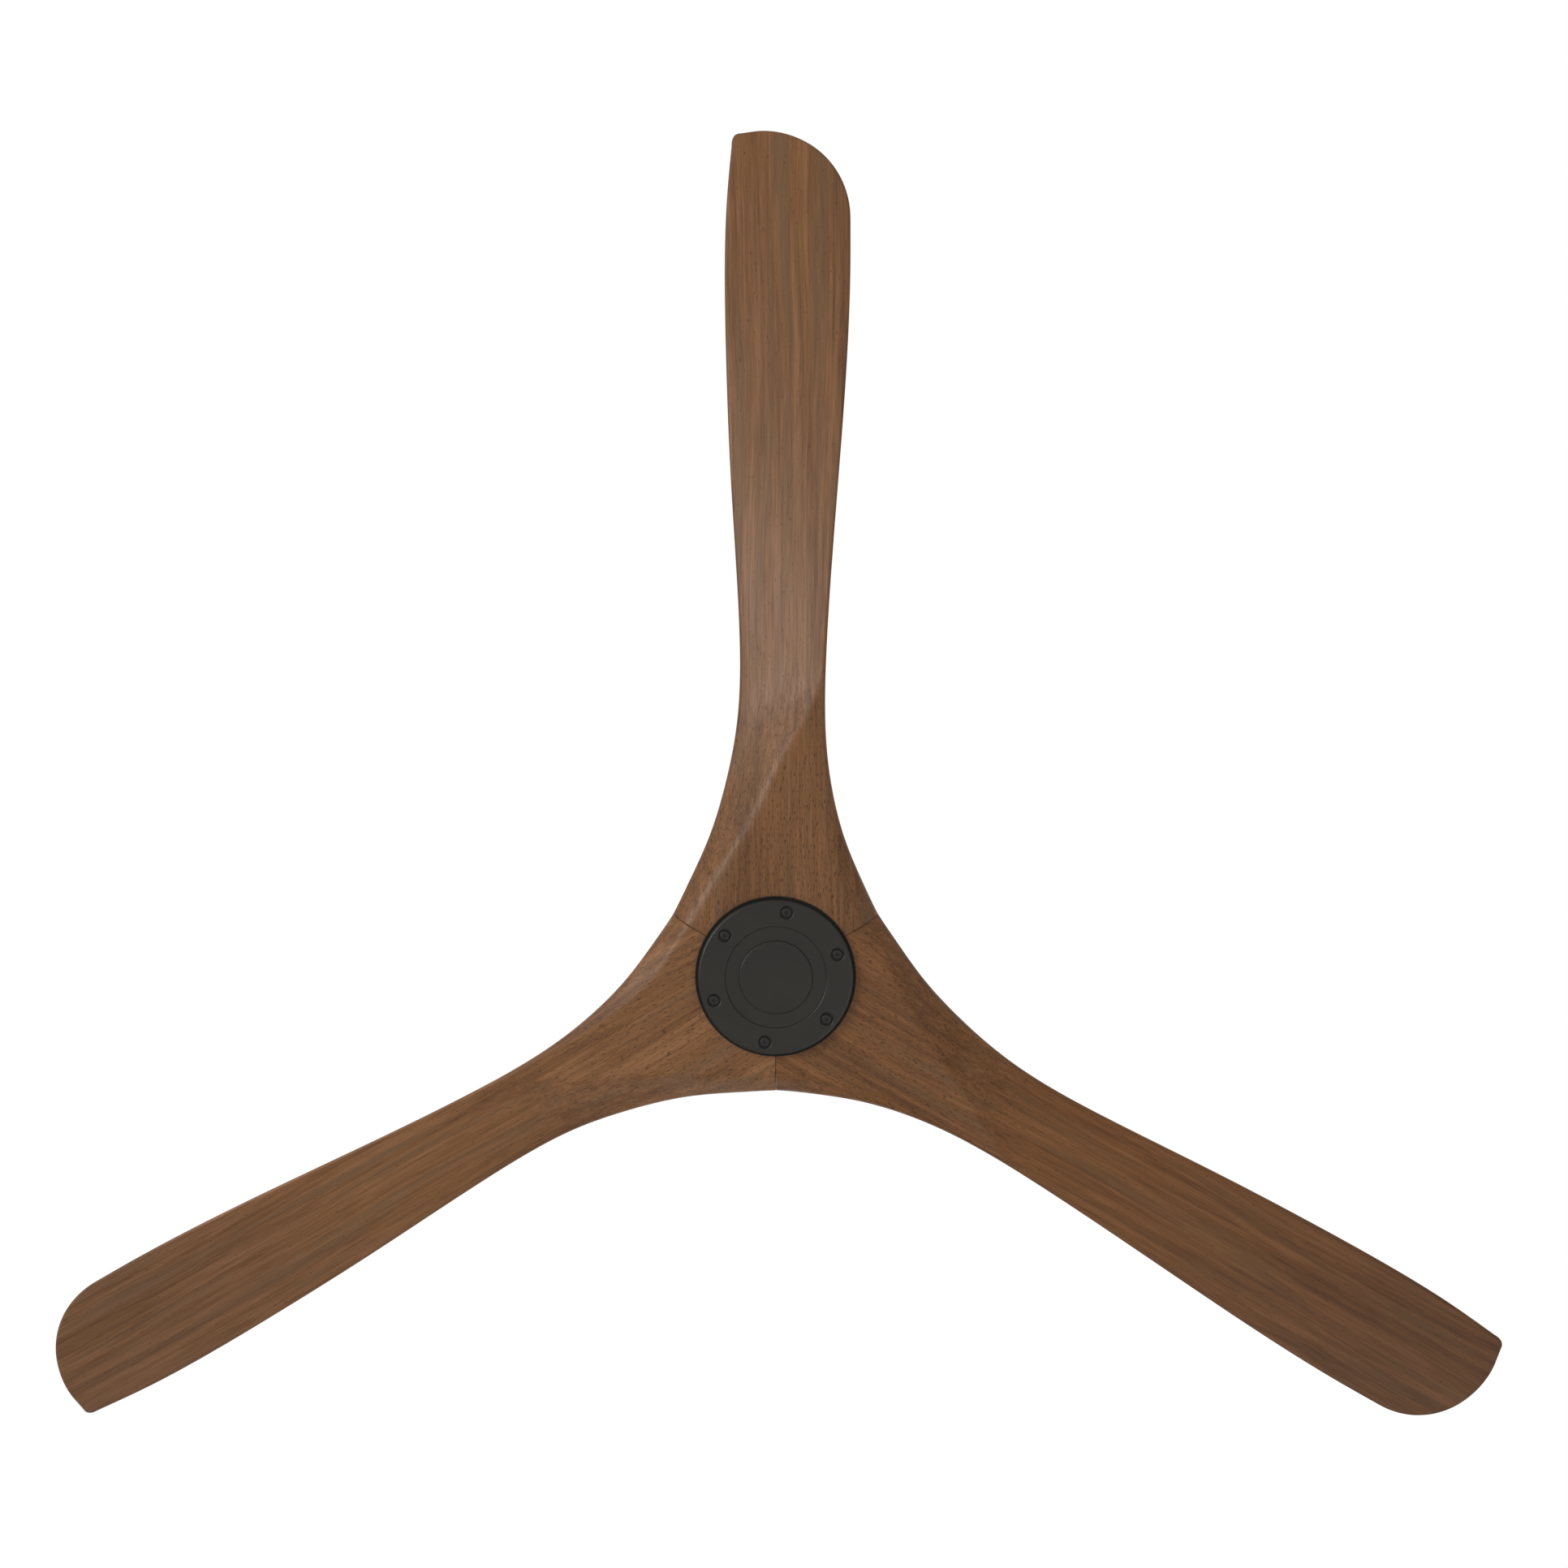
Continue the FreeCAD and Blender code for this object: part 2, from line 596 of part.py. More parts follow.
def bearing_rings(top):
    """Inner ring, outer ring, balls and cage of a deep-groove bearing."""
    low = top - bearing_width
    pitch = (shaft_radius + bearing_outer_radius) / 2
    middle = top - bearing_width / 2
    groove = Part.makeTorus(pitch, bearing_ball_radius + bearing_play, Vector(0, 0, middle), UP)
    inner = ring(shaft_radius + seat_gap, pitch - bearing_ring_gap / 2, low, top).cut(groove)
    outer = ring(pitch + bearing_ring_gap / 2, bearing_outer_radius, low, top).cut(groove)
    balls = around(Part.makeSphere(bearing_ball_radius, Vector(pitch, 0, middle)), bearing_ball_count)
    cage = ring(pitch - cage_wall / 2, pitch + cage_wall / 2, middle - cage_height / 2, middle + cage_height / 2)
    pocket = bar(bearing_ball_radius + bearing_play, Vector(pitch - 3, 0, middle), Vector(pitch + 3, 0, middle))
    pockets = around(pocket, bearing_ball_count)
    return inner, outer, balls, cage.cut(pockets[0].multiFuse(pockets[1:]))


def motor_shaft():
    """Hollow fixed shaft that the motor turns on."""
    top = socket_floor_z - 1.5
    body = ring(shaft_bore_radius, shaft_radius, shaft_bottom_z, top)
    groove_low = lower_bearing_bottom_z - 1.5
    return body.cut(ring(shaft_radius - 0.6, shaft_radius + 1, groove_low, lower_bearing_bottom_z))


def shaft_clip():
    """Retaining ring under the lower bearing."""
    body = ring(shaft_radius - 0.5, shaft_radius + 3.0, lower_bearing_bottom_z - 1.45, lower_bearing_bottom_z - 0.05)
    return body.cut(box(0, 20, -2.5, 2.5, lower_bearing_bottom_z - 3, lower_bearing_bottom_z + 1))


def stator_carrier():
    """Aluminium spider between shaft and laminations."""
    low, high = stator_middle_z - stack_height / 2 - 3, stator_middle_z + stack_height / 2 + 3
    body = ring(shaft_radius + seat_gap, stator_yoke_radii[0] - seat_gap, low, high)
    holes = around(cylinder(4.5, low - 1, high + 1, 18, 0), 6)
    return body.cut(holes[0].multiFuse(holes[1:]))


def stator_core():
    """Laminated core with its teeth."""
    low, high = stator_middle_z - stack_height / 2, stator_middle_z + stack_height / 2
    outer = drum_radius - drum_wall - magnet_thickness - air_gap
    shoe = 3.5
    yoke = ring(*stator_yoke_radii, low, high)
    tooth = box(stator_yoke_radii[1] - 1, outer - shoe + 1, -tooth_width / 2, tooth_width / 2, low, high)
    shoes = ring(outer - shoe, outer, low, high)
    slot = box(outer - shoe - 2, outer + 2, -1.8, 1.8, low - 1, high + 1)
    slots = around(slot, tooth_count, 180.0 / tooth_count)
    shoes = shoes.cut(slots[0].multiFuse(slots[1:]))
    return fused([yoke, shoes] + around(tooth, tooth_count))


def stator_coils():
    """Copper coils, one on each tooth."""
    gap = 0.3
    inner_x, outer_x = stator_yoke_radii[1] + 1.5, drum_radius - drum_wall - magnet_thickness - air_gap - 5.5
    half_width, half_height = tooth_width / 2 + gap, stack_height / 2 + gap
    coil = box(inner_x, outer_x, -half_width - coil_build, half_width + coil_build,
               stator_middle_z - half_height - coil_build, stator_middle_z + half_height + coil_build)
    coil = coil.makeFillet(coil_build * 0.6, [e for e in coil.Edges if e.BoundBox.XLength > 5])
    hole = box(inner_x - 1, outer_x + 1, -half_width, half_width,
               stator_middle_z - half_height, stator_middle_z + half_height)
    return around(coil.cut(hole), tooth_count)


# ---------------------------------------------------------------- casing and electronics
def three_places(radius, start):
    """x and y of three points on a circle."""
    return [on_circle(radius, start + 120 * i) for i in range(3)]


def motor_housing():
    """Domed casing over the motor, open below."""
    hole = coupling_radius + 0.5
    top, wall = housing_top_z, housing_wall

    def shell(radius, flat, upper, lower):
        """Solid bell with an elliptic shoulder."""
        steps = 10
        points = []
        for i in range(steps + 1):
            turn = math.pi / 2 * i / steps
            out, up = flat + (radius - flat) * math.sin(turn), (upper - skirt_top_z) * math.cos(turn)
            points.append(Vector(out, 0, skirt_top_z + up))
        shoulder = Part.BSplineCurve()
        shoulder.interpolate(points, InitialTangent=Vector(1, 0, 0), FinalTangent=Vector(0, 0, -1))
        edges = [
            Part.LineSegment(Vector(0, 0, upper), points[0]).toShape(),
            shoulder.toShape(),
            Part.LineSegment(points[-1], Vector(radius, 0, lower)).toShape(),
            Part.LineSegment(Vector(radius, 0, lower), Vector(0, 0, lower)).toShape(),
            Part.LineSegment(Vector(0, 0, lower), Vector(0, 0, upper)).toShape(),
        ]
        return Part.Face(Part.Wire(edges)).revolve(Vector(0, 0, 0), UP, 360)

    body = shell(housing_radius, housing_flat_radius, top, skirt_bottom_z)
    body = body.cut(shell(housing_radius - wall, housing_flat_radius, top - wall, skirt_bottom_z - 1))
    bead = ring(housing_radius - 0.8, housing_radius + 1, skirt_bottom_z + 6, skirt_bottom_z + 7.6)
    holes = [cylinder(housing_screw_radius + slip_gap, top - 10, top + 1, x, y)
             for x, y in three_places(housing_screw_circle_radius, 60)]
    return body.cut(cylinder(hole, top - 10, top + 1)).cut(bead).cut(holes[0].multiFuse(holes[1:]))


def housing_screws():
    """Screws that hold the casing to the coupling flange."""
    length = housing_wall + coupling_flange_thickness - 0.5
    return [button_screw(housing_screw_radius, 3.6, 2.2, length, x, y, housing_top_z, True)
            for x, y in three_places(housing_screw_circle_radius, 60)]


def coupling():
    """Cast collar that joins the motor shaft to the downrod."""
    flare = coupling_radius + 3
    body = revolved([
        (rod_outer_radius + slip_gap, coupling_top_z), (coupling_radius - 1.5, coupling_top_z),
        (coupling_radius, coupling_top_z - 1.5), (coupling_radius, flange_top_z),
        (coupling_flange_radius, flange_top_z), (coupling_flange_radius, flange_bottom_z),
        (shaft_radius + seat_gap, flange_bottom_z),
        (shaft_radius + seat_gap, socket_floor_z - 1.5), (shaft_bore_radius, socket_floor_z - 1.5),
        (shaft_bore_radius, socket_floor_z), (rod_outer_radius + slip_gap, socket_floor_z),
    ])
    cuts = [bar(clevis_pin_radius + slip_gap, Vector(-flare, 0, clevis_pin_z), Vector(flare, 0, clevis_pin_z))]
    cuts += [bar(set_screw_radius + seat_gap, Vector(0, 0, set_screw_z), Vector(0, side * flare, set_screw_z))
             for side in (-1, 1)]
    cuts += [cylinder(housing_screw_radius + seat_gap, flange_bottom_z - 1, flange_top_z + 1, x, y)
             for x, y in three_places(housing_screw_circle_radius, 60)]
    cuts += [cylinder(1.5 + seat_gap, flange_bottom_z - 1, flange_bottom_z + 3, x, y)
             for x, y in three_places(standoff_circle_radius, 0)]
    return body.cut(cuts[0].multiFuse(cuts[1:]))


def clevis_pin():
    """Pin through coupling and downrod, with a head at one end and a hole for the clip."""
    reach = coupling_radius + 4.5
    head_face = Vector(-coupling_radius - 0.2, 0, clevis_pin_z)
    pin = bar(clevis_pin_radius, head_face, Vector(reach, 0, clevis_pin_z))
    head = bar(clevis_pin_radius + 1.8, head_face - Vector(2.2, 0, 0), head_face)
    clip_x = coupling_radius + 2
    hole = bar(0.95, Vector(clip_x, 0, clevis_pin_z - 5), Vector(clip_x, 0, clevis_pin_z + 5))
    return fused([pin, head]).cut(hole)


def hairpin_clip():
    """Spring wire clip that keeps the clevis pin in."""
    wire = 0.8
    x = coupling_radius + 2
    straight = bar(wire, Vector(x, 0, clevis_pin_z - 6), Vector(x, 0, clevis_pin_z + 8))
    bend = Part.makeTorus(2.4, wire, Vector(x, 2.4, clevis_pin_z + 8), Vector(1, 0, 0))
    bend = bend.common(box(x - 2, x + 2, -4, 8, clevis_pin_z + 8, clevis_pin_z + 14))
    leg = bar(wire, Vector(x, 4.8, clevis_pin_z + 8), Vector(x, 4.8, clevis_pin_z - 4))
    return fused([straight, bend, leg])


def coupling_set_screws():
    """Two set screws with lock nuts that steady the downrod in the coupling."""
    screws = []
    for side in (-1, 1):
        start = Vector(0, side * (rod_outer_radius + 0.05), set_screw_z)
        end = Vector(0, side * (coupling_radius + 5), set_screw_z)
        screw = bar(set_screw_radius, start, end)
        head = hex_prism(8.0, 0, 3.5)
        head.rotate(Vector(0, 0, 0), Vector(1, 0, 0), -90 * side)
        head.translate(Vector(0, side * (coupling_radius + 1.2), set_screw_z))
        screws.append(fused([screw, head]))
    return screws


def coupling_cover():
    """Small bell on the downrod that hides the coupling and rests on the casing."""
    low, high = housing_top_z, housing_top_z + cover_height
    wall, hole = cover_wall, rod_outer_radius + 0.5
    shoulder = high - 9
    return revolved([
        (hole, high), (cover_top_radius - 5, high),
        ((cover_top_radius + 1.5, high - 2.6), (cover_top_radius + 5.2, shoulder)),
        (cover_foot_radius, low + 2.5), (cover_foot_radius, low), (cover_foot_radius - wall, low),
        (cover_foot_radius - wall, low + 2.3), (cover_top_radius + 5.2 - wall, shoulder),
        ((cover_top_radius + 1.5 - wall, high - 2.6 - wall * 0.7), (cover_top_radius - 5.6, high - wall)),
        (hole, high - wall),
    ])


def driver_board():
    """Ring-shaped circuit board that drives the motor."""
    low, high = board_top_z - board_thickness, board_top_z
    body = ring(shaft_radius + 3, board_radius, low, high)
    holes = [cylinder(1.5 + slip_gap, low - 1, high + 1, x, y) for x, y in three_places(standoff_circle_radius, 0)]
    return body.cut(holes[0].multiFuse(holes[1:]))


def board_standoffs():
    """Pillars between coupling flange and board, with their screw ends."""
    pillars = []
    for x, y in three_places(standoff_circle_radius, 0):
        body = hex_prism(5.5, board_top_z, flange_bottom_z, x, y)
        stud = cylinder(1.5, flange_bottom_z - 1, flange_bottom_z + 2.5, x, y)
        tail = cylinder(1.5, board_top_z - board_thickness - 1.8, board_top_z + 1, x, y)
        head = cylinder(2.8, board_top_z - board_thickness - 2.0, board_top_z - board_thickness, x, y)
        pillars.append(fused([body, stud, tail, head]))
    return pillars


def board_components():
    """Capacitors, choke, power stage and connector under the board."""
    low = board_top_z - board_thickness
    pieces = [cylinder(4.0, low - 6, low, *on_circle(44, a)) for a in (20, 35, 50)]
    pieces.append(ring(3.0, 6.5, low - 5, low).translated(Vector(*on_circle(48, 95), 0)))
    for angle in (150, 168, 186):
        pieces.append(turned(box(41, 51, -4, 4, low - 3, low), angle))
    pieces.append(turned(box(46, 56, -9, 9, low - 6, low), 250))
    pieces.append(turned(box(36, 43, -3.5, 3.5, low - 2, low), 300))
    return pieces


# ---------------------------------------------------------------- hanging stem
def downrod():
    """Steel tube that the fan hangs on."""
    body = ring(rod_outer_radius - rod_wall, rod_outer_radius, rod_bottom_z, rod_top_z)
    far = rod_outer_radius + 5
    pin_holes = [
        bar(cross_pin_radius + slip_gap, Vector(-far, 0, cross_pin_z), Vector(far, 0, cross_pin_z)),
        bar(clevis_pin_radius + slip_gap, Vector(-far, 0, clevis_pin_z), Vector(far, 0, clevis_pin_z)),
    ]
    return body.cut(pin_holes[0]).cut(pin_holes[1])


def hanger_ball():
    """Ball that lets the fan hang plumb, slotted for its pin and grooved for the bracket's tab."""
    body = Part.makeSphere(ball_radius, Vector(0, 0, ball_z))
    body = body.cut(cylinder(ball_radius + 1, ball_z + ball_top_cut, ball_z + ball_radius + 1))
    body = body.cut(cylinder(rod_outer_radius + slip_gap, ball_z - ball_radius - 1, ball_z + ball_radius))
    half = cross_pin_radius + slip_gap
    reach = cross_pin_half_length + 0.3
    low, high = ball_z - ball_radius, ball_z + ball_radius
    slot = box(-reach, reach, -half, half, cross_pin_z, high)
    slot_floor = bar(half, Vector(-reach, 0, cross_pin_z), Vector(reach, 0, cross_pin_z))
    groove = box(-ball_groove_width / 2, ball_groove_width / 2, 0, ball_radius + 2, low, high)
    keep = bar(ball_radius - ball_groove_depth, Vector(-10, 0, ball_z), Vector(10, 0, ball_z))
    lock = bar(lock_screw_radius + seat_gap, Vector(0, 0, lock_screw_z), Vector(0, -ball_radius - 1, lock_screw_z))
    return body.cut(slot).cut(slot_floor).cut(groove.cut(keep)).cut(lock)


def ball_pin():
    """Cross pin that carries the downrod in the ball."""
    reach = Vector(cross_pin_half_length, 0, 0)
    middle = Vector(0, 0, cross_pin_z)
    return bar(cross_pin_radius, middle - reach, middle + reach)


def ball_lock_screw():
    """Grub screw that locks the ball to the downrod."""
    end = -math.sqrt(ball_radius**2 - (lock_screw_z - ball_z) ** 2) + 1.0
    body = bar(lock_screw_radius, Vector(0, -rod_outer_radius - 0.05, lock_screw_z), Vector(0, end, lock_screw_z))
    socket = hex_prism(2.0, 0, 3.0)
    socket.rotate(Vector(0, 0, 0), Vector(1, 0, 0), -90)
    socket.translate(Vector(0, end - 0.5, lock_screw_z))
    return body.cut(socket)


# ---------------------------------------------------------------- ceiling side
def slot_cutter(x, y, length, radius, low, high):
    """Upright slot with round ends, its length along X."""
    half = length / 2 - radius
    middle = box(x - half, x + half, y - radius, y + radius, low, high)
    return fused([middle, cylinder(radius, low, high, x - half, y), cylinder(radius, low, high, x + half, y)])


def hanger_bracket():
    """Steel bracket on the ceiling: slotted plate, two legs, ball seat, and ears for the canopy."""
    sheet, half = bracket_sheet, bracket_width / 2
    ear_x = canopy_radius - canopy_wall - 0.2
    leg_x = ball_radius + 2.0
    seat_low = seat_top_z - seat_depth
    plate = box(-ear_x, ear_x, -half, half, -sheet, 0)
    rounding = cylinder(ear_x, -sheet, 0)
    plate = plate.common(rounding)
    ears = ring(ear_x - sheet, ear_x, canopy_screw_z - 6, 0)
    ears = ears.common(box(-90, 90, -9, 9, canopy_screw_z - 6, 0))
    legs = [box(x, x + sheet, -15, 15, seat_low, -sheet + 0.5) for x in (-leg_x - sheet, leg_x)]
    seat = cylinder(leg_x + sheet, seat_low, seat_top_z)
    seat = seat.cut(Part.makeSphere(ball_radius + ball_gap, Vector(0, 0, ball_z)))
    mouth = box(-seat_mouth_width / 2, seat_mouth_width / 2, -60, 0, seat_low - 1, seat_top_z + 1)
    tab_tip = ball_radius - ball_groove_depth + 0.5
    tab = box(-tab_width / 2, tab_width / 2, 0, ball_radius + 3, ball_z - 13, ball_z - 7)
    tab = tab.cut(bar(tab_tip, Vector(-10, 0, ball_z), Vector(10, 0, ball_z)))
    body = fused([plate, *ears.Solids, *legs, seat.cut(mouth), tab])
    cuts = [slot_cutter(x, 0, ceiling_slot_length, ceiling_slot_radius, -sheet - 1, 1)
            for x in (-ceiling_screw_spacing / 2, ceiling_screw_spacing / 2)]
    cuts.append(cylinder(wire_hole_radius, -sheet - 1, 1))
    cuts.append(bar(canopy_screw_radius + seat_gap, Vector(-90, 0, canopy_screw_z), Vector(90, 0, canopy_screw_z)))
    cuts.append(cylinder(ground_screw_radius + seat_gap, -sheet - 1, 1, *ground_screw_place))
    return body.cut(cuts[0].multiFuse(cuts[1:]))


def ground_screw():
    """Green earthing screw on the bracket."""
    x, y = ground_screw_place
    shank = cylinder(ground_screw_radius, -9.0, -0.2, x, y)
    head = hex_prism(7.0, -bracket_sheet - 3.0, -bracket_sheet, x, y)
    return fused([shank, head])


def canopy():
    """Round cover against the ceiling over the bracket."""
    top, low, wall = -canopy_rim_gap, -canopy_height, canopy_wall
    shoulder = -16.0
    flat = 36.0
    turn = math.sqrt(0.5)

    def bend(radius, inner, upper, lower):
        """Middle point of the quarter round between wall and bottom."""
        return (inner + (radius - inner) * turn, upper - (upper - lower) * turn)

    inside = canopy_radius - wall
    body = revolved([
        (canopy_hole_radius, low), (flat, low),
        (bend(canopy_radius, flat, shoulder, low), (canopy_radius, shoulder)),
        (canopy_radius, top), (inside, top), (inside, shoulder),
        (bend(inside, flat, shoulder, low + wall), (flat, low + wall)), (canopy_hole_radius, low + wall),
    ])
    return body.cut(bar(canopy_screw_radius + slip_gap, Vector(-90, 0, canopy_screw_z), Vector(90, 0, canopy_screw_z)))


def canopy_grommet():
    """Soft ring lining the hole of the canopy."""
    low, high, lip = -canopy_height - 1.0, -canopy_height + canopy_wall + 1.0, canopy_hole_radius + 2.0
    body = ring(canopy_hole_radius - 1.6, lip, low, high)
    slit_low, slit_high = -canopy_height - seat_gap, -canopy_height + canopy_wall + seat_gap
    slit = ring(canopy_hole_radius - seat_gap, lip + 1, slit_low, slit_high)
    return body.cut(slit)


def canopy_screws():
    """Two screws through the canopy wall into the bracket's ears."""
    screws = []
    for side in (-1, 1):
        tip, neck, seat, crown = [
            Vector(side * (canopy_radius + reach), 0, canopy_screw_z) for reach in (-8, 1, 0.05, 2.6)
        ]
        shank = bar(canopy_screw_radius, tip, neck)
        head = bar(3.8, seat, crown)
        slot = box(-1, 1, -0.5, 0.5, -4, 4)
        slot.translate(crown)
        screws.append(fused([shank, head]).cut(slot))
    return screws


# ---------------------------------------------------------------- the whole fan
def build():
    """Every sub-part by node name."""
    upper_inner, upper_outer, upper_balls, upper_cage = bearing_rings(upper_bearing_top_z)
    lower_inner, lower_outer, lower_balls, lower_cage = bearing_rings(lower_bearing_bottom_z + bearing_width)
    parts = {
        "hanger_bracket": hanger_bracket(),
        "ground_screw": ground_screw(),
        "canopy": canopy(),
        "canopy_grommet": canopy_grommet(),
        "canopy_screws": canopy_screws(),
        "hanger_ball": hanger_ball(),
        "ball_pin": ball_pin(),
        "ball_lock_screw": ball_lock_screw(),
        "downrod": downrod(),
        "coupling": coupling(),
        "clevis_pin": clevis_pin(),
        "hairpin_clip": hairpin_clip(),
        "coupling_set_screws": coupling_set_screws(),
        "coupling_cover": coupling_cover(),
        "motor_housing": motor_housing(),
        "housing_screws": housing_screws(),
        "driver_board": driver_board(),
        "board_standoffs": board_standoffs(),
        "board_components": board_components(),
        "motor_shaft": motor_shaft(),
        "shaft_clip": shaft_clip(),
        "stator_carrier": stator_carrier(),
        "stator_core": stator_core(),
        "stator_coils": stator_coils(),
        "upper_bearing_inner_ring": upper_inner,
        "lower_bearing_inner_ring": lower_inner,
        "upper_bearing_outer_ring": upper_outer,
        "lower_bearing_outer_ring": lower_outer,
        "upper_bearing_balls": upper_balls,
        "lower_bearing_balls": lower_balls,
        "upper_bearing_cage": upper_cage,
        "lower_bearing_cage": lower_cage,
        "motor_drum": motor_drum(),
        "magnets": magnets(),
        "motor_top_cover": motor_top_cover(),
        "drum_bolts": drum_bolts(),
        "blade_hub": blade_hub(),
        "blade_gaskets": blade_gaskets(),
        "blade_inserts": blade_inserts(),
        "blade_screws": blade_screws(),
        "hub_plate": hub_plate(),
        "plate_gasket": plate_gasket(),
        "plate_screws": plate_screws(),
        "centre_cap": centre_cap(),
    }
    for index in range(blade_count):
        parts[f"blade_{index + 1}"] = placed_blade(index)
    return parts


os.makedirs("parts", exist_ok=True)
for name, made in build().items():
    shape = Part.makeCompound(made) if isinstance(made, list) else made
    if len(shape.Solids) == 1:
        shape = shape.Solids[0]
    shape.exportStep(f"parts/{name}.step")
    print(f"{name:26s} solids {len(shape.Solids):3d}  valid {shape.isValid()}  volume {shape.Volume:12.1f}")
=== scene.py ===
"""Looks of a three-blade wooden ceiling fan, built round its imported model.

The blades are carved here as smooth meshes with eased edges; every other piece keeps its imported
shape and gets its finish. Lengths are metres unless a name or comment says millimetres.
"""

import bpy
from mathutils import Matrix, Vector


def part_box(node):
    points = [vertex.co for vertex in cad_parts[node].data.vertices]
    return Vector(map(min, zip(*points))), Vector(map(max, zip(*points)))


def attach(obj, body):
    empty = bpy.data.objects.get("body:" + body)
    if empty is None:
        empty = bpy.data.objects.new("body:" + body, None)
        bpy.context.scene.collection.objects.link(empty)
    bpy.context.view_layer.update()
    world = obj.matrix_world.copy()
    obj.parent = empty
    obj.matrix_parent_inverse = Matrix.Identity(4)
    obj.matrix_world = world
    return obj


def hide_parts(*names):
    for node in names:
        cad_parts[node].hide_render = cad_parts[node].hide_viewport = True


bl_info = {
    "name": "Wooden propeller ceiling fan",
    "version": (1, 0, 0),
    "blender": (4, 5, 0),
    "location": "View3D > Sidebar > Fan",
    "description": "Carves the fan's blades, gives every piece its finish and sets the stage",
    "category": "Object",
}

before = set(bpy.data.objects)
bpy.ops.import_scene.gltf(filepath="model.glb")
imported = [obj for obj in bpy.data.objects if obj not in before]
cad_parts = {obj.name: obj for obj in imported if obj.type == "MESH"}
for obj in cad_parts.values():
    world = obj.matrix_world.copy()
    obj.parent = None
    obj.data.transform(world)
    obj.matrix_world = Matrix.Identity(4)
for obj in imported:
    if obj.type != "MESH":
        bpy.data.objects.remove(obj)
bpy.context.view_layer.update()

import math

import bpy
import numpy as np
from bpy.props import FloatProperty, FloatVectorProperty, PointerProperty
from mathutils import Matrix, Vector

MM = 0.001


# ---------------------------------------------------------------- colours and nodes
def linear(hex_colour):
    """Linear RGBA of an sRGB hex colour."""
    channels = [int(hex_colour[i:i + 2], 16) / 255 for i in (1, 3, 5)]
    return tuple(c / 12.92 if c <= 0.04045 else ((c + 0.055) / 1.055) ** 2.4 for c in channels) + (1.0,)


def add(tree, kind, inputs=None, **settings):
    """Adds a node, applies its settings and fills or links its input sockets."""
    made = tree.nodes.new(kind)
    for name, value in settings.items():
        setattr(made, name, value)
    for socket, value in (inputs or {}).items():
        if isinstance(value, bpy.types.NodeSocket):
            tree.links.new(value, made.inputs[socket])
        else:
            made.inputs[socket].default_value = value
    return made


def new_material(name, **sockets):
    """Material with a principled shader whose sockets are set; underscores stand for spaces."""
    material = bpy.data.materials.new(name)
    material.use_nodes = True
    tree = material.node_tree
    shader = tree.nodes["Principled BSDF"]
    for socket, value in sockets.items():
        shader.inputs[socket.replace("_", " ")].default_value = value
    return material, tree, shader


def per_mm(*sizes):
    """Scale that turns metres into periods of these sizes in millimetres."""
    return tuple(1000.0 / size for size in sizes)


def set_stops(ramp, stops):
    """Gives a colour ramp its (position, linear colour) stops."""
    elements = ramp.color_ramp.elements
    while len(elements) < len(stops):
        elements.new(1.0)
    for element, (place, colour) in zip(elements, stops):
        element.position = place
        element.color = colour


def finish_shader(tree, shader, colour, roughness, relief):
    """Links colour, roughness and relief to a principled shader."""
    tree.links.new(colour, shader.inputs["Base Color"])
    tree.links.new(roughness, shader.inputs["Roughness"])
    tree.links.new(relief, shader.inputs["Normal"])


CLOUDS_PER_METRE = 28.0  # slow change of tone over a surface


def grained(name, base, deep, size_mm, rough_low, rough_high, bump_mm, metallic=0.0, ior=1.5, shine=0.5):
    """Surface with a fine random grain that varies its colour, gloss and relief."""
    sockets = {"Metallic": metallic} if metallic else {"IOR": ior, "Specular_IOR_Level": shine}
    material, tree, shader = new_material(name, **sockets)
    place = add(tree, "ShaderNodeTexCoord").outputs["Object"]
    scaled = {0: place, 1: per_mm(size_mm, size_mm, size_mm)}
    scaled = add(tree, "ShaderNodeVectorMath", scaled, operation="MULTIPLY").outputs[0]
    grain = {"Vector": scaled, "Scale": 1.0, "Detail": 3.0, "Roughness": 0.6}
    grain = add(tree, "ShaderNodeTexNoise", grain).outputs["Fac"]
    cloud = add(tree, "ShaderNodeTexNoise", {"Vector": place, "Scale": CLOUDS_PER_METRE, "Detail": 2.0})
    ramp = add(tree, "ShaderNodeValToRGB", {"Fac": cloud.outputs["Fac"]})
    set_stops(ramp, [(0.35, deep), (0.65, base)])
    gloss = {"Value": grain, "From Min": 0.3, "From Max": 0.7, "To Min": rough_low, "To Max": rough_high}
    gloss = add(tree, "ShaderNodeMapRange", gloss)
    relief = add(tree, "ShaderNodeBump", {"Height": grain, "Distance": bump_mm * MM, "Strength": 0.6})
    finish_shader(tree, shader, ramp.outputs["Color"], gloss.outputs["Result"], relief.outputs["Normal"])
    return material


# ---------------------------------------------------------------- wood, sizes in millimetres
# the grain wanders sideways by up to half of this, over the patch given across, along and across
GRAIN_SWAY = 14
SWAY_PATCH = (80, 240, 80)
# each layer's width across and length along the grain, its detail and its weight in the wood's tone
FIGURE = {
    "bands": (24, 520, 1.0, 0.24),
    "streaks": (7.0, 260, 1.0, 0.26),
    "lines": (2.6, 120, 1.5, 0.28),
    "fibres": (1.3, 30, 1.0, 0.22),  # drawn wider than real, to show
}
PORE_SIZE = (0.9, 5)  # drawn wider than real, to show
GREY_STREAK = (11, 300)
# level of the pore noise above which a pore is open, at the root and on the free blade, and the
# distances from the axis between which one turns into the other
PORE_LEVELS = (0.62, 0.74)
PORE_REACH = (160, 340)
TONE_REACH = (360, 660)  # over which the root's tone turns into the tip's
TONE_STOPS = (0.37, 0.50, 0.62)  # dark, middle and light wood
LACQUER_ROUGHNESS = (0.46, 0.38)  # over dark and light wood
PORE_DEPTH = 0.08


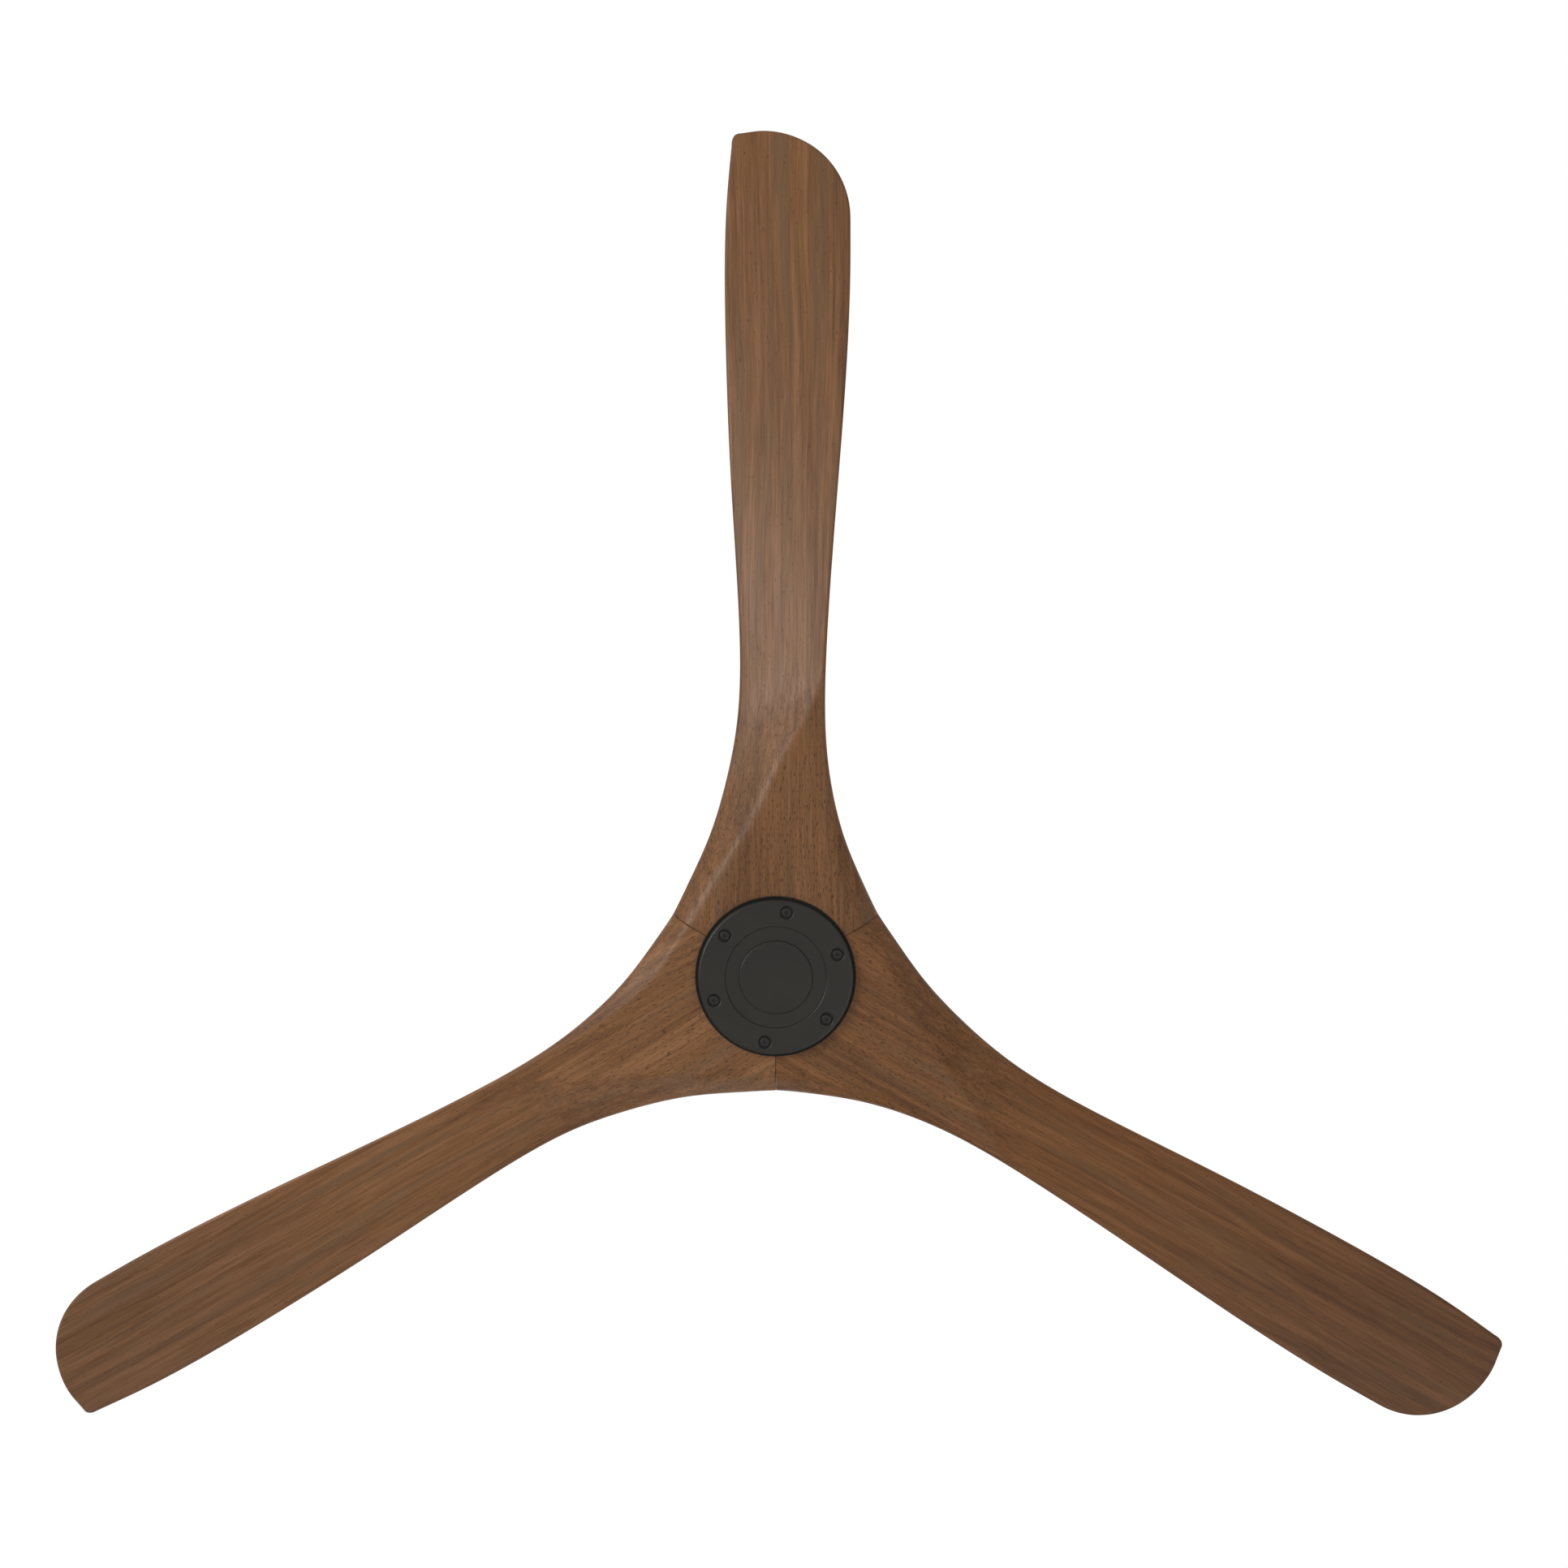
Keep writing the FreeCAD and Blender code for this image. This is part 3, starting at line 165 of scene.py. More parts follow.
def walnut(name, settings, turn, shift, root_tone_and_shade, tip_tone_and_shade):
    """Walnut-stained hardwood under satin lacquer, planed and sanded by hand.

    Fine straight grain runs along the blade in soft brown and greyish streaks, with a few short
    dark pores; the thin lacquer leaves a soft sheen that dulls a little over the streaks.
    """
    material, tree, shader = new_material(name, IOR=1.5, Specular_IOR_Level=0.17)
    place = add(tree, "ShaderNodeTexCoord").outputs["Object"]
    # the blade's own directions: Y along the grain whichever way the blade points
    own = {"Vector": place, "Angle": -turn}
    own = add(tree, "ShaderNodeVectorRotate", own, rotation_type="Z_AXIS").outputs[0]
    moved = add(tree, "ShaderNodeVectorMath", {0: own, 1: shift}, operation="ADD").outputs[0]
    sway_place = {0: moved, 1: per_mm(*SWAY_PATCH)}
    sway_place = add(tree, "ShaderNodeVectorMath", sway_place, operation="MULTIPLY").outputs[0]
    sway = add(tree, "ShaderNodeTexNoise", {"Vector": sway_place, "Scale": 1.0, "Detail": 1.0})
    sway = {0: sway.outputs["Color"], 1: (0.5, 0.5, 0.5)}
    sway = add(tree, "ShaderNodeVectorMath", sway, operation="SUBTRACT").outputs[0]
    sway = {0: sway, 1: (GRAIN_SWAY * MM, 0.0, GRAIN_SWAY * MM)}
    sway = add(tree, "ShaderNodeVectorMath", sway, operation="MULTIPLY").outputs[0]
    grain_place = add(tree, "ShaderNodeVectorMath", {0: moved, 1: sway}, operation="ADD").outputs[0]

    layers = {}
    sizes = {label: layer[:3] for label, layer in FIGURE.items()}
    sizes["pores"] = (*PORE_SIZE, 0.0)
    sizes["grey"] = (*GREY_STREAK, 1.0)
    for label, (across, along_grain, detail) in sizes.items():
        scaled = {0: grain_place, 1: per_mm(across, along_grain, across)}
        scaled = add(tree, "ShaderNodeVectorMath", scaled, operation="MULTIPLY").outputs[0]
        noise = {"Vector": scaled, "Scale": 1.0, "Detail": detail, "Roughness": 0.5}
        layers[label] = add(tree, "ShaderNodeTexNoise", noise).outputs["Fac"]
    tone = 0.0
    for label, layer in FIGURE.items():
        inputs = {0: layers[label], 1: layer[-1], 2: tone}
        tone = add(tree, "ShaderNodeMath", inputs, operation="MULTIPLY_ADD").outputs[0]
    ramp = add(tree, "ShaderNodeValToRGB", {"Fac": tone})
    grains = (settings.dark_grain, settings.mid_grain, settings.light_grain)
    set_stops(ramp, [(stop, grain[:]) for stop, grain in zip(TONE_STOPS, grains)])
    # greyish sapwood streaks among the brown
    greyed = {"Value": layers["grey"], "From Min": 0.52, "From Max": 0.72, "To Max": 0.5}
    greyed = add(tree, "ShaderNodeMapRange", greyed).outputs["Result"]
    colour = {0: greyed, 6: ramp.outputs["Color"], 7: settings.grey_grain[:]}
    colour = add(tree, "ShaderNodeMix", colour, data_type="RGBA").outputs[2]
    # the root block is cut from coarser wood, where more of the pores are open
    from_axis = add(tree, "ShaderNodeVectorMath", {0: place, 1: (1, 1, 0)}, operation="MULTIPLY").outputs[0]
    from_axis = add(tree, "ShaderNodeVectorMath", {0: from_axis}, operation="LENGTH").outputs["Value"]
    closed = {"Value": from_axis, "From Min": PORE_REACH[0] * MM, "From Max": PORE_REACH[1] * MM,
              "To Min": PORE_LEVELS[0], "To Max": PORE_LEVELS[1]}
    closed = add(tree, "ShaderNodeMapRange", closed).outputs["Result"]
    pore = add(tree, "ShaderNodeMath", {0: layers["pores"], 1: closed}, operation="SUBTRACT").outputs[0]
    pore = add(tree, "ShaderNodeMapRange", {"Value": pore, "From Max": 0.10, "To Max": 0.6}).outputs["Result"]
    colour = {0: pore, 6: colour, 7: settings.pore[:]}
    colour = add(tree, "ShaderNodeMix", colour, data_type="RGBA").outputs[2]
    # a board is seldom one tone from end to end; the tones multiplied in here are partly the board's own and
    # partly painted light and shade, lighter on the blade towards the key lamp and darker on the blade turned
    # away from it
    outward = {"Value": from_axis, "From Min": TONE_REACH[0] * MM, "From Max": TONE_REACH[1] * MM}
    outward = add(tree, "ShaderNodeMapRange", outward).outputs["Result"]
    board = {0: outward, 6: root_tone_and_shade, 7: tip_tone_and_shade}
    board = add(tree, "ShaderNodeMix", board, data_type="RGBA").outputs[2]
    colour = {0: 1.0, 6: colour, 7: board}
    colour = add(tree, "ShaderNodeMix", colour, data_type="RGBA", blend_type="MULTIPLY").outputs[2]
    gloss = {"Value": tone, "From Min": 0.38, "From Max": 0.62,
             "To Min": LACQUER_ROUGHNESS[0], "To Max": LACQUER_ROUGHNESS[1]}
    gloss = add(tree, "ShaderNodeMapRange", gloss).outputs["Result"]
    height = add(tree, "ShaderNodeMath", {0: pore, 1: -0.8, 2: layers["lines"]}, operation="MULTIPLY_ADD")
    relief = {"Height": height.outputs[0], "Distance": PORE_DEPTH * MM, "Strength": 0.4}
    relief = add(tree, "ShaderNodeBump", relief).outputs["Normal"]
    finish_shader(tree, shader, colour, gloss, relief)
    return material


# ---------------------------------------------------------------- blade shape, in millimetres
BLOCK = 42.0  # thickness of the root block
BORE = 67.0
SEAM_GAP = 0.06  # slit between two root blocks
SEAM_ANGLE = math.radians(60)  # from the blade's own line to each of its seams
ROOT = 260.0  # where the root block ends
SEAM_END = 108.2  # distance from the axis at which the seams reach the outline
SEAM_REACH = 90  # y beyond which a blade has no seam
NO_SEAM = 99.0  # distance given to points with no seam near them
TIP_ARC = 83.0
TIP_CORNER = 7.0
TIP_LAG = 1.2  # how far the leading corner lies back from the tip
CORNER_POWERS = (2.6, 2.2)  # of the oval that rounds the leading corner
TIP = 1000 * (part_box("blade_1")[1].y)
ROW_POINTS = 161
BLOCK_ROW_STEP = 2.0
SEAM_END_ROWS = 6  # closer rows over the last stretch of the seams
SEAM_END_STRETCH = 3
TIP_ROWS = 41
EDGE_STEPS = np.array([0, 0.12, 0.45, 1.0, 1.7, 2.6, 3.8])  # distances from an edge of the first mesh columns
MIDDLE_COLUMNS = 44
SIDE_BLEND = 40  # width over which one side's rounding turns into the other's
LARGEST_ROUNDING = 0.46  # share of the blade's thickness


def along(share):
    """Distance from the axis at a share of the free blade's length."""
    return ROOT + share * (TIP - ROOT)


# distance from the axis and x of the two edges, seen from above with the blade along +Y
LEADING = [
    (36, 104), (54, 93.8), (80, 81), (120, 62.8), (160, 49.6), (200, 40.2), (235, 35),
    (along(0.05), 32.8), (along(0.16), 34.5), (along(0.40), 41.5), (along(0.60), 45.2),
    (along(0.76), 46.2), (along(0.88), 44.2), (along(0.976), 39.8),
]
TRAILING = [
    (36, -104), (54, -93.8), (80, -81.2), (120, -64.2), (160, -53), (200, -46.8), (235, -44.8),
    (along(0.07), -45.9), (along(0.24), -51.2), (along(0.44), -59), (along(0.64), -65.4),
    (along(0.75), -67), (along(0.835), -67),
]
# distance from the axis, x and height where a carved face starts, its rise per mm, its crease's softness
LOWER_FACE = [
    (20, 95, 0, 0.82, 7.0), (54, 76, 0, 0.86, 7.0), (100, 48, 0, 0.84, 6.0), (150, 17, 0, 0.72, 4.0),
    (200, -7, 0, 0.60, 2.4), (ROOT, -40, 0, 0.44, 1.2), (along(0.08), -46.3, 0, 0.40, 0.6),
    (along(0.4), -58, 2.5, 0.285, 0.4), (along(0.72), -67, 5, 0.212, 0.4), (along(1.0), -67, 8, 0.17, 0.4),
    (along(1.04), -67, 8.4, 0.165, 0.4),
]
LOWER_BEVEL = [
    (20, -95, 0, 0.82, 3.5), (54, -76, 0, 0.86, 3.5), (100, -53, 0, 0.55, 1.4), (150, -42, 0, 0.40, 0.8),
    (200, -41, 0, 0.33, 0.6), (ROOT, -46, 0, 0.3, 0.4), (along(0.08), -53, 0, 0.3, 0.4),
    (along(0.4), -66, 0, 0.3, 0.4), (along(0.72), -75, 0, 0.3, 0.4), (along(1.0), -78, 0, 0.3, 0.4),
    (along(1.04), -78, 0, 0.3, 0.4),
]
UPPER_FACE = [
    (20, -95, 0, 0.82, 5.0), (54, -76, 0, 0.86, 5.0), (100, -48, 0, 0.82, 2.6), (150, -18, 0, 0.67, 1.2),
    (200, 4, 0, 0.60, 1.0), (ROOT, 8, -4.3, 0.56, 2.0), (along(0.08), 0, -8.2, 0.58, 3.0),
    (along(0.4), -4, -11, 0.425, 4.0), (along(0.72), -6, -12.6, 0.318, 4.0),
    (along(1.0), -6, -14.6, 0.244, 4.0), (along(1.04), -6, -14.8, 0.24, 4.0),
]
UPPER_BEVEL = [
    (20, 95, 0, 0.82, 3.5), (54, 76, 0, 0.86, 3.5), (100, 53, 0, 0.66, 1.6), (150, 41, 0, 0.60, 1.0),
    (200, 26, 0, 0.34, 1.0), (ROOT, 8, -4.3, 0.0, 2.0), (along(0.08), 0, -8.2, -0.13, 3.0),
    (along(0.4), -4, -11, -0.132, 4.0), (along(0.72), -6, -12.6, -0.1, 4.0),
    (along(1.0), -6, -14.6, -0.08, 4.0), (along(1.04), -6, -14.8, -0.08, 4.0),
]


def spline(stations, column, where):
    """Natural cubic curve through one column of the stations, read at some distances."""
    knots = np.array([s[0] for s in stations], float)
    values = np.array([s[column] for s in stations], float)
    step = np.diff(knots)
    count = len(knots)
    matrix, right = np.eye(count), np.zeros(count)
    for i in range(1, count - 1):
        matrix[i, i - 1:i + 2] = step[i - 1], 2 * (step[i - 1] + step[i]), step[i]
        right[i] = 6 * ((values[i + 1] - values[i]) / step[i] - (values[i] - values[i - 1]) / step[i - 1])
    bend = np.linalg.solve(matrix, right)
    where = np.clip(np.asarray(where, float), knots[0], knots[-1])
    i = np.clip(np.searchsorted(knots, where, side="right") - 1, 0, count - 2)
    h, a, b = step[i], knots[i + 1] - where, where - knots[i]
    return (bend[i] * a**3 + bend[i + 1] * b**3) / (6 * h) + (values[i] / h - bend[i] * h / 6) * a \
        + (values[i + 1] / h - bend[i + 1] * h / 6) * b


def soft_max(a, b, softness):
    """Larger of two heights with the corner between them eased."""
    return (a + b + np.sqrt((a - b) ** 2 + softness**2)) / 2


def blade_heights(x, y):
    """Lower and upper height of the blade above the block's bottom, before its edges are eased."""
    def face(stations, way):
        """Height of a carved face and softness of its crease."""
        start, base, rise, softness = (spline(stations, column, y) for column in (1, 2, 3, 4))
        return base + way * rise * (x - start), softness

    lower, soft = face(LOWER_FACE, 1)
    low = soft_max(np.zeros_like(x), lower, soft)
    lower, soft = face(LOWER_BEVEL, -1)
    low = soft_max(low, lower, soft)
    upper, soft = face(UPPER_FACE, 1)
    bevel, bevel_soft = face(UPPER_BEVEL, -1)
    drop = soft_max(soft_max(np.zeros_like(x), -upper, soft), -bevel, bevel_soft)
    return low, BLOCK - drop


def blade_rows(length_step):
    """Rows of plan points across the blade, each from the trailing to the leading side, root to tip."""
    turn = np.linspace(-1, 1, ROW_POINTS)
    rows = []
    # the block between its bore and the ends of its seams
    fine_start = SEAM_END - SEAM_END_STRETCH
    fine = np.linspace(fine_start, SEAM_END, SEAM_END_ROWS)
    for radius in np.append(np.arange(BORE, fine_start, BLOCK_ROW_STEP), fine):
        half = SEAM_ANGLE - math.asin(SEAM_GAP / 2 / radius)
        rows.append(np.stack([radius * np.sin(half * turn), radius * np.cos(half * turn)], 1))
    # the blade between the seams and the place where the tip's arc starts; the rows straighten outwards
    start = rows[-1][-1][1]
    widest = TRAILING[-1][0]
    sine, cosine = math.sin(SEAM_ANGLE), 0.5
    for end in np.linspace(start, widest, int((widest - start) / length_step))[1:]:
        left, right = spline(TRAILING, 1, end), spline(LEADING, 1, end)
        bulge = (SEAM_END - start) * max(0.0, 1 - (end - start) / (ROOT - start)) ** 2
        x = (left + right) / 2 + (right - left) / 2 * np.sin(SEAM_ANGLE * turn) / sine
        rows.append(np.stack([x, end + bulge * (np.cos(SEAM_ANGLE * turn) - cosine) / cosine], 1))
    # the tip
    corner_start, corner_x = LEADING[-1]
    corner_top = TIP - TIP_LAG
    share = (turn + 1) / 2
    for angle in np.linspace(0, math.pi / 2, TIP_ROWS)[1:]:
        left_x = TRAILING[-1][1] + TIP_ARC * (1 - math.cos(angle))
        left_y = widest + (TIP - widest) * math.sin(angle)
        right_y = widest + (corner_top - widest) * math.sin(angle)
        if right_y < corner_start:
            right_x = spline(LEADING, 1, right_y)
        else:
            rise = (right_y - corner_start) / (corner_top - corner_start)
            oval = max(0.0, 1 - rise**CORNER_POWERS[0]) ** (1 / CORNER_POWERS[1])
            right_x = corner_x - TIP_CORNER * (1 - oval)
        x = left_x + (right_x - left_x) * share
        rows.append(np.stack([x, left_y + (right_y - left_y) * share], 1))
    return rows


def spaced(row, edge_steps, columns):
    """Points along a row at set distances near its ends and evenly between them."""
    length = np.append(0, np.cumsum(np.hypot(*np.diff(row, axis=0).T)))
    total = length[-1]
    middle = np.linspace(edge_steps[-1], total - edge_steps[-1], columns)[1:-1]
    stops = np.concatenate([edge_steps, middle, total - edge_steps[::-1]])
    return np.stack([np.interp(stops, length, row[:, 0]), np.interp(stops, length, row[:, 1])], 1)


def distance_to(points, line):
    """Shortest distance of each point to a chain of points."""
    best = np.full(len(points), np.inf)
    for a, b in zip(line[:-1], line[1:]):
        along_line = b - a
        share = np.clip((points - a) @ along_line / (along_line @ along_line), 0, 1)
        best = np.minimum(best, np.hypot(*(points - a - share[:, None] * along_line).T))
    return best


def seam_distance(x, y):
    """Distance of each point to the nearer seam; far away beyond the seams' ends."""
    from_line = np.abs(np.abs(x) * math.cos(SEAM_ANGLE) - y * math.sin(SEAM_ANGLE)) - SEAM_GAP / 2
    return np.where(y < SEAM_REACH, np.maximum(from_line, 0), NO_SEAM)


def eased(distance, radius):
    """How far a face has turned in at a distance from a rounded edge."""
    inside = radius - np.minimum(distance, radius)
    return radius - np.sqrt(np.maximum(radius**2 - inside**2, 0))


def shell_faces(rows, columns):
    """Faces of a closed shell whose lower and upper sheets are grids of the same size."""
    count = rows * columns
    faces = []
    for i in range(rows - 1):
        for j in range(columns - 1):
            a, b = i * columns + j, i * columns + j + 1
            c, d = b + columns, a + columns
            faces.append((a, d, c, b))
            faces.append((a + count, b + count, c + count, d + count))
    for j in range(columns - 1):
        last = (rows - 1) * columns + j
        faces.append((j, j + 1, j + 1 + count, j + count))
        faces.append((last, last + count, last + 1 + count, last + 1))
    for i in range(rows - 1):
        left, right = i * columns, i * columns + columns - 1
        faces.append((left, left + count, left + columns + count, left + columns))
        faces.append((right, right + columns, right + columns + count, right + count))
    return faces


def blade_mesh(name, settings, turn, bottom):
    """Closed mesh of one blade, turned about the axis from +Y, in metres."""
    raw = blade_rows(settings.row_spacing / MM)
    grid = np.array([spaced(row, EDGE_STEPS, MIDDLE_COLUMNS) for row in raw])
    rows, columns = grid.shape[:2]
    points = grid.reshape(-1, 2)
    x, y = points.T
    low, high = blade_heights(x, y)
    first_free = next(i for i, row in enumerate(raw) if np.hypot(*row[-1]) > SEAM_END - 0.01)
    trailing_side = [row[0] for row in raw[first_free:]]
    leading_side = [row[-1] for row in raw[:first_free - 1:-1]]
    to_edge = distance_to(points, np.concatenate([trailing_side, leading_side]))
    side = (x - (spline(TRAILING, 1, y) + spline(LEADING, 1, y)) / 2) / SIDE_BLEND
    trailing, leading = settings.trailing_round / MM, settings.leading_round / MM
    radius = trailing + (leading - trailing) * np.clip(side + 0.5, 0, 1)
    radius = np.minimum(radius, LARGEST_ROUNDING * (high - low))
    turned_in = eased(to_edge, radius) + eased(seam_distance(x, y), settings.seam_round / MM)
    turned_x = x * math.cos(turn) - y * math.sin(turn)
    turned_y = x * math.sin(turn) + y * math.cos(turn)
    sheets = [np.stack([turned_x, turned_y, level], 1) for level in (low + turned_in, high - turned_in)]
    vertices = np.concatenate(sheets) * MM
    vertices[:, 2] += bottom
    mesh = bpy.data.meshes.new(name)
    mesh.from_pydata(vertices.tolist(), [], shell_faces(rows, columns))
    mesh.polygons.foreach_set("use_smooth", [True] * len(mesh.polygons))
    mesh.validate()
    mesh.update()
    return mesh


# ---------------------------------------------------------------- settings
def length_setting(name, description, millimetres, least):
    """Length property with its default and least value in millimetres."""
    return FloatProperty(name=name, description=description, default=millimetres * MM, min=least * MM,
                         unit="LENGTH")


def colour_setting(name, description, hex_colour):
    """Colour property with its default as an sRGB hex colour."""
    return FloatVectorProperty(name=name, description=description, subtype="COLOR", size=4, min=0, max=1,
                               default=linear(hex_colour))


class FanBladeSettings(bpy.types.PropertyGroup):
    """Sizes and colours of the wooden blades."""
    row_spacing: length_setting("Row spacing", "Distance between mesh rows along a blade", 3.0, 1.0)
    trailing_round: length_setting("Trailing rounding", "Edge radius on the trailing side", 3.6, 0.2)
    leading_round: length_setting("Leading rounding", "Edge radius on the leading side", 2.4, 0.2)
    seam_round: length_setting("Seam rounding", "Edge radius along the seams", 0.9, 0.1)
    dark_grain: colour_setting("Dark grain", "Darkest streaks of the wood", "#604028")
    mid_grain: colour_setting("Mid grain", "Main colour of the wood", "#785334")
    light_grain: colour_setting("Light grain", "Palest streaks of the wood", "#8b6242")
    grey_grain: colour_setting("Grey grain", "Greyish streaks among the brown", "#69523c")
    pore: colour_setting("Pores", "Colour of the open pores", "#3a261a")


class FanFinishSettings(bpy.types.PropertyGroup):
    """Colours of the painted and metal pieces."""
    casing: colour_setting("Casing", "Powder coat of canopy, downrod, cover and casing", "#37332f")
    plate: colour_setting("Hub plate", "Powder coat of the hub plate and its cap", "#24231f")
    fastener: colour_setting("Fasteners", "Black oxide of the visible screws", "#22211f")


class FanStageSettings(bpy.types.PropertyGroup):
    """Floor, lamps and camera."""
    floor_drop: length_setting("Floor level", "Height of the floor below the ceiling", 3200, 1000)
    floor_lift: FloatProperty(name="Floor lift", description="How much paler than lit the floor looks",
                              default=0.42, min=0.0)
    lens: FloatProperty(name="Lens", description="Focal length of the camera in millimetres",
                        default=35.0, min=10.0)
    key_power: FloatProperty(name="Key lamp", description="Power of the key lamp in watts",
                             default=60.0, min=0.0)
    fill_power: FloatProperty(name="Fill lamp", description="Power of the fill lamp in watts",
                              default=30.0, min=0.0)
    world_level: FloatProperty(name="World level", description="Strength of the even light from all round",
                               default=0.55, min=0.0)


# ---------------------------------------------------------------- operators
def finish_nodes(names, material):
    """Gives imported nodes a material."""
    for name in names:
        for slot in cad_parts[name].material_slots:
            slot.material = material


# each blade is cut from its own board: place of its grain in metres, and its tones at root and tip, which are
# partly the board's own tone and partly painted light and shade: lightest on blade 3, which points towards
# the key lamp, darkest on blade 2, which points away from it
BOARD_GRAIN_TONES_AND_SHADE = (
    ((0.31, 0.07, 0.11), "#ecebea", "#ecebea"),
    ((1.52, 0.64, 0.37), "#e2dace", "#c2b5a0"),
    ((2.83, 1.21, 0.72), "#ffffff", "#e6e8f2"),
)


class FAN_OT_blades(bpy.types.Operator):
    """Carve the three blades and stain them"""
    bl_idname = "fan.blades"
    bl_label = "Carve blades"

    def execute(self, context):
        """Carves each blade in its own direction and hangs it on the rotor."""
        settings = context.scene.fan_blades
        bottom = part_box("blade_1")[0].z
        for index, (shift, root_tone_and_shade, tip_tone_and_shade) in enumerate(BOARD_GRAIN_TONES_AND_SHADE):
            name = f"blade_{index + 1}"
            turn = math.radians(120 * index)
            mesh = blade_mesh(f"carved_{name}", settings, turn, bottom)
            # the root and tip tones hold painted light and shade as well as each board's own tone
            mesh.materials.append(walnut(f"walnut_satin_lacquer_{index + 1}", settings, turn, shift,
                                         linear(root_tone_and_shade), linear(tip_tone_and_shade)))
            piece = bpy.data.objects.new(f"carved_{name}", mesh)
            context.scene.collection.objects.link(piece)
            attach(piece, "rotor")
            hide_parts(name)
        return {"FINISHED"}


class FAN_OT_hub(bpy.types.Operator):
    """Paint the hub plate and its cap and blacken its screws"""
    bl_idname = "fan.hub"
    bl_label = "Finish hub"

    def execute(self, context):
        """Gives the pieces under the blade roots their finishes."""
        finish = context.scene.fan_finish
        # powder coat on cast aluminium, sprayed and baked: satin with a faint orange peel
        paint = grained("charcoal_powder_coat", finish.plate[:], linear("#21201d"),
                        1.2, 0.34, 0.44, 0.015, shine=0.22)
        finish_nodes(("hub_plate", "centre_cap", "blade_hub"), paint)
        # black oxide on machined steel: dark, a little glossier than the paint round it
        oxide = grained("black_oxide_steel", finish.fastener[:], linear("#1b1a19"),
                        0.8, 0.38, 0.52, 0.01, metallic=0.6)
        finish_nodes(("plate_screws",), oxide)
        return {"FINISHED"}


class FAN_OT_casing(bpy.types.Operator):
    """Paint the canopy, downrod, cover and motor casing"""
    bl_idname = "fan.casing"
    bl_label = "Finish casing"

    def execute(self, context):
        """Gives the covers above the blades their finishes."""
        finish = context.scene.fan_finish
        # powder coat on spun and drawn steel: dark bronze, matte, very fine sand texture
        paint = grained("bronze_powder_coat", finish.casing[:], linear("#312d2a"), 1.0, 0.48, 0.62, 0.03)
        finish_nodes(("canopy", "downrod", "coupling_cover", "motor_housing"), paint)
        # black oxide on rolled and stamped steel: dark, low sheen
        oxide = grained("black_oxide_screws", finish.fastener[:], linear("#1b1a19"),
                        0.8, 0.38, 0.52, 0.01, metallic=0.6)
        finish_nodes(("canopy_screws", "housing_screws", "shaft_clip"), oxide)
        return {"FINISHED"}


class FAN_OT_hanger(bpy.types.Operator):
    """Finish the bracket, ball and pins that carry the fan"""
    bl_idname = "fan.hanger"
    bl_label = "Finish hanger"

    def execute(self, context):
        """Gives the hanging parts their finishes."""
        # zinc plate on stamped steel sheet: pale grey, soft shine, faint cloudiness
        zinc = grained("zinc_plated_sheet", linear("#9d9e9b"), linear("#878987"),
                       2.5, 0.42, 0.56, 0.01, metallic=1.0)
        finish_nodes(("hanger_bracket",), zinc)
        # green chromate on a turned screw: dyed, half metallic
        green = grained("green_chromate_screw", linear("#2f7a46"), linear("#276a3b"),
                        1.0, 0.35, 0.45, 0.01, metallic=0.5)
        finish_nodes(("ground_screw",), green)
        # moulded glass-filled nylon: black, matte, faint grain
        nylon = grained("moulded_black_nylon", linear("#201f1e"), linear("#1a1918"),
                        0.9, 0.45, 0.6, 0.02, ior=1.53)
        finish_nodes(("hanger_ball",), nylon)
        # moulded nitrile rubber: very dark, dull
        rubber = grained("moulded_rubber", linear("#131312"), linear("#0e0e0d"),
                         0.7, 0.7, 0.85, 0.02, shine=0.2)
        finish_nodes(("canopy_grommet", "blade_gaskets", "plate_gasket"), rubber)
        # ground and zinc-plated steel pins and screws: bright, fine turning marks
        steel = grained("ground_steel", linear("#c3c2bf"), linear("#aeadaa"),
                        0.6, 0.22, 0.36, 0.008, metallic=1.0)
        finish_nodes(("ball_pin", "ball_lock_screw", "clevis_pin", "hairpin_clip", "coupling_set_screws",
                      "motor_shaft", "blade_screws", "drum_bolts", "motor_drum"), steel)
        # sand-cast iron under black primer: dull and slightly rough
        cast = grained("cast_iron_primed", linear("#2d2b29"), linear("#242221"), 1.4, 0.6, 0.75, 0.06)
        finish_nodes(("coupling",), cast)
        return {"FINISHED"}


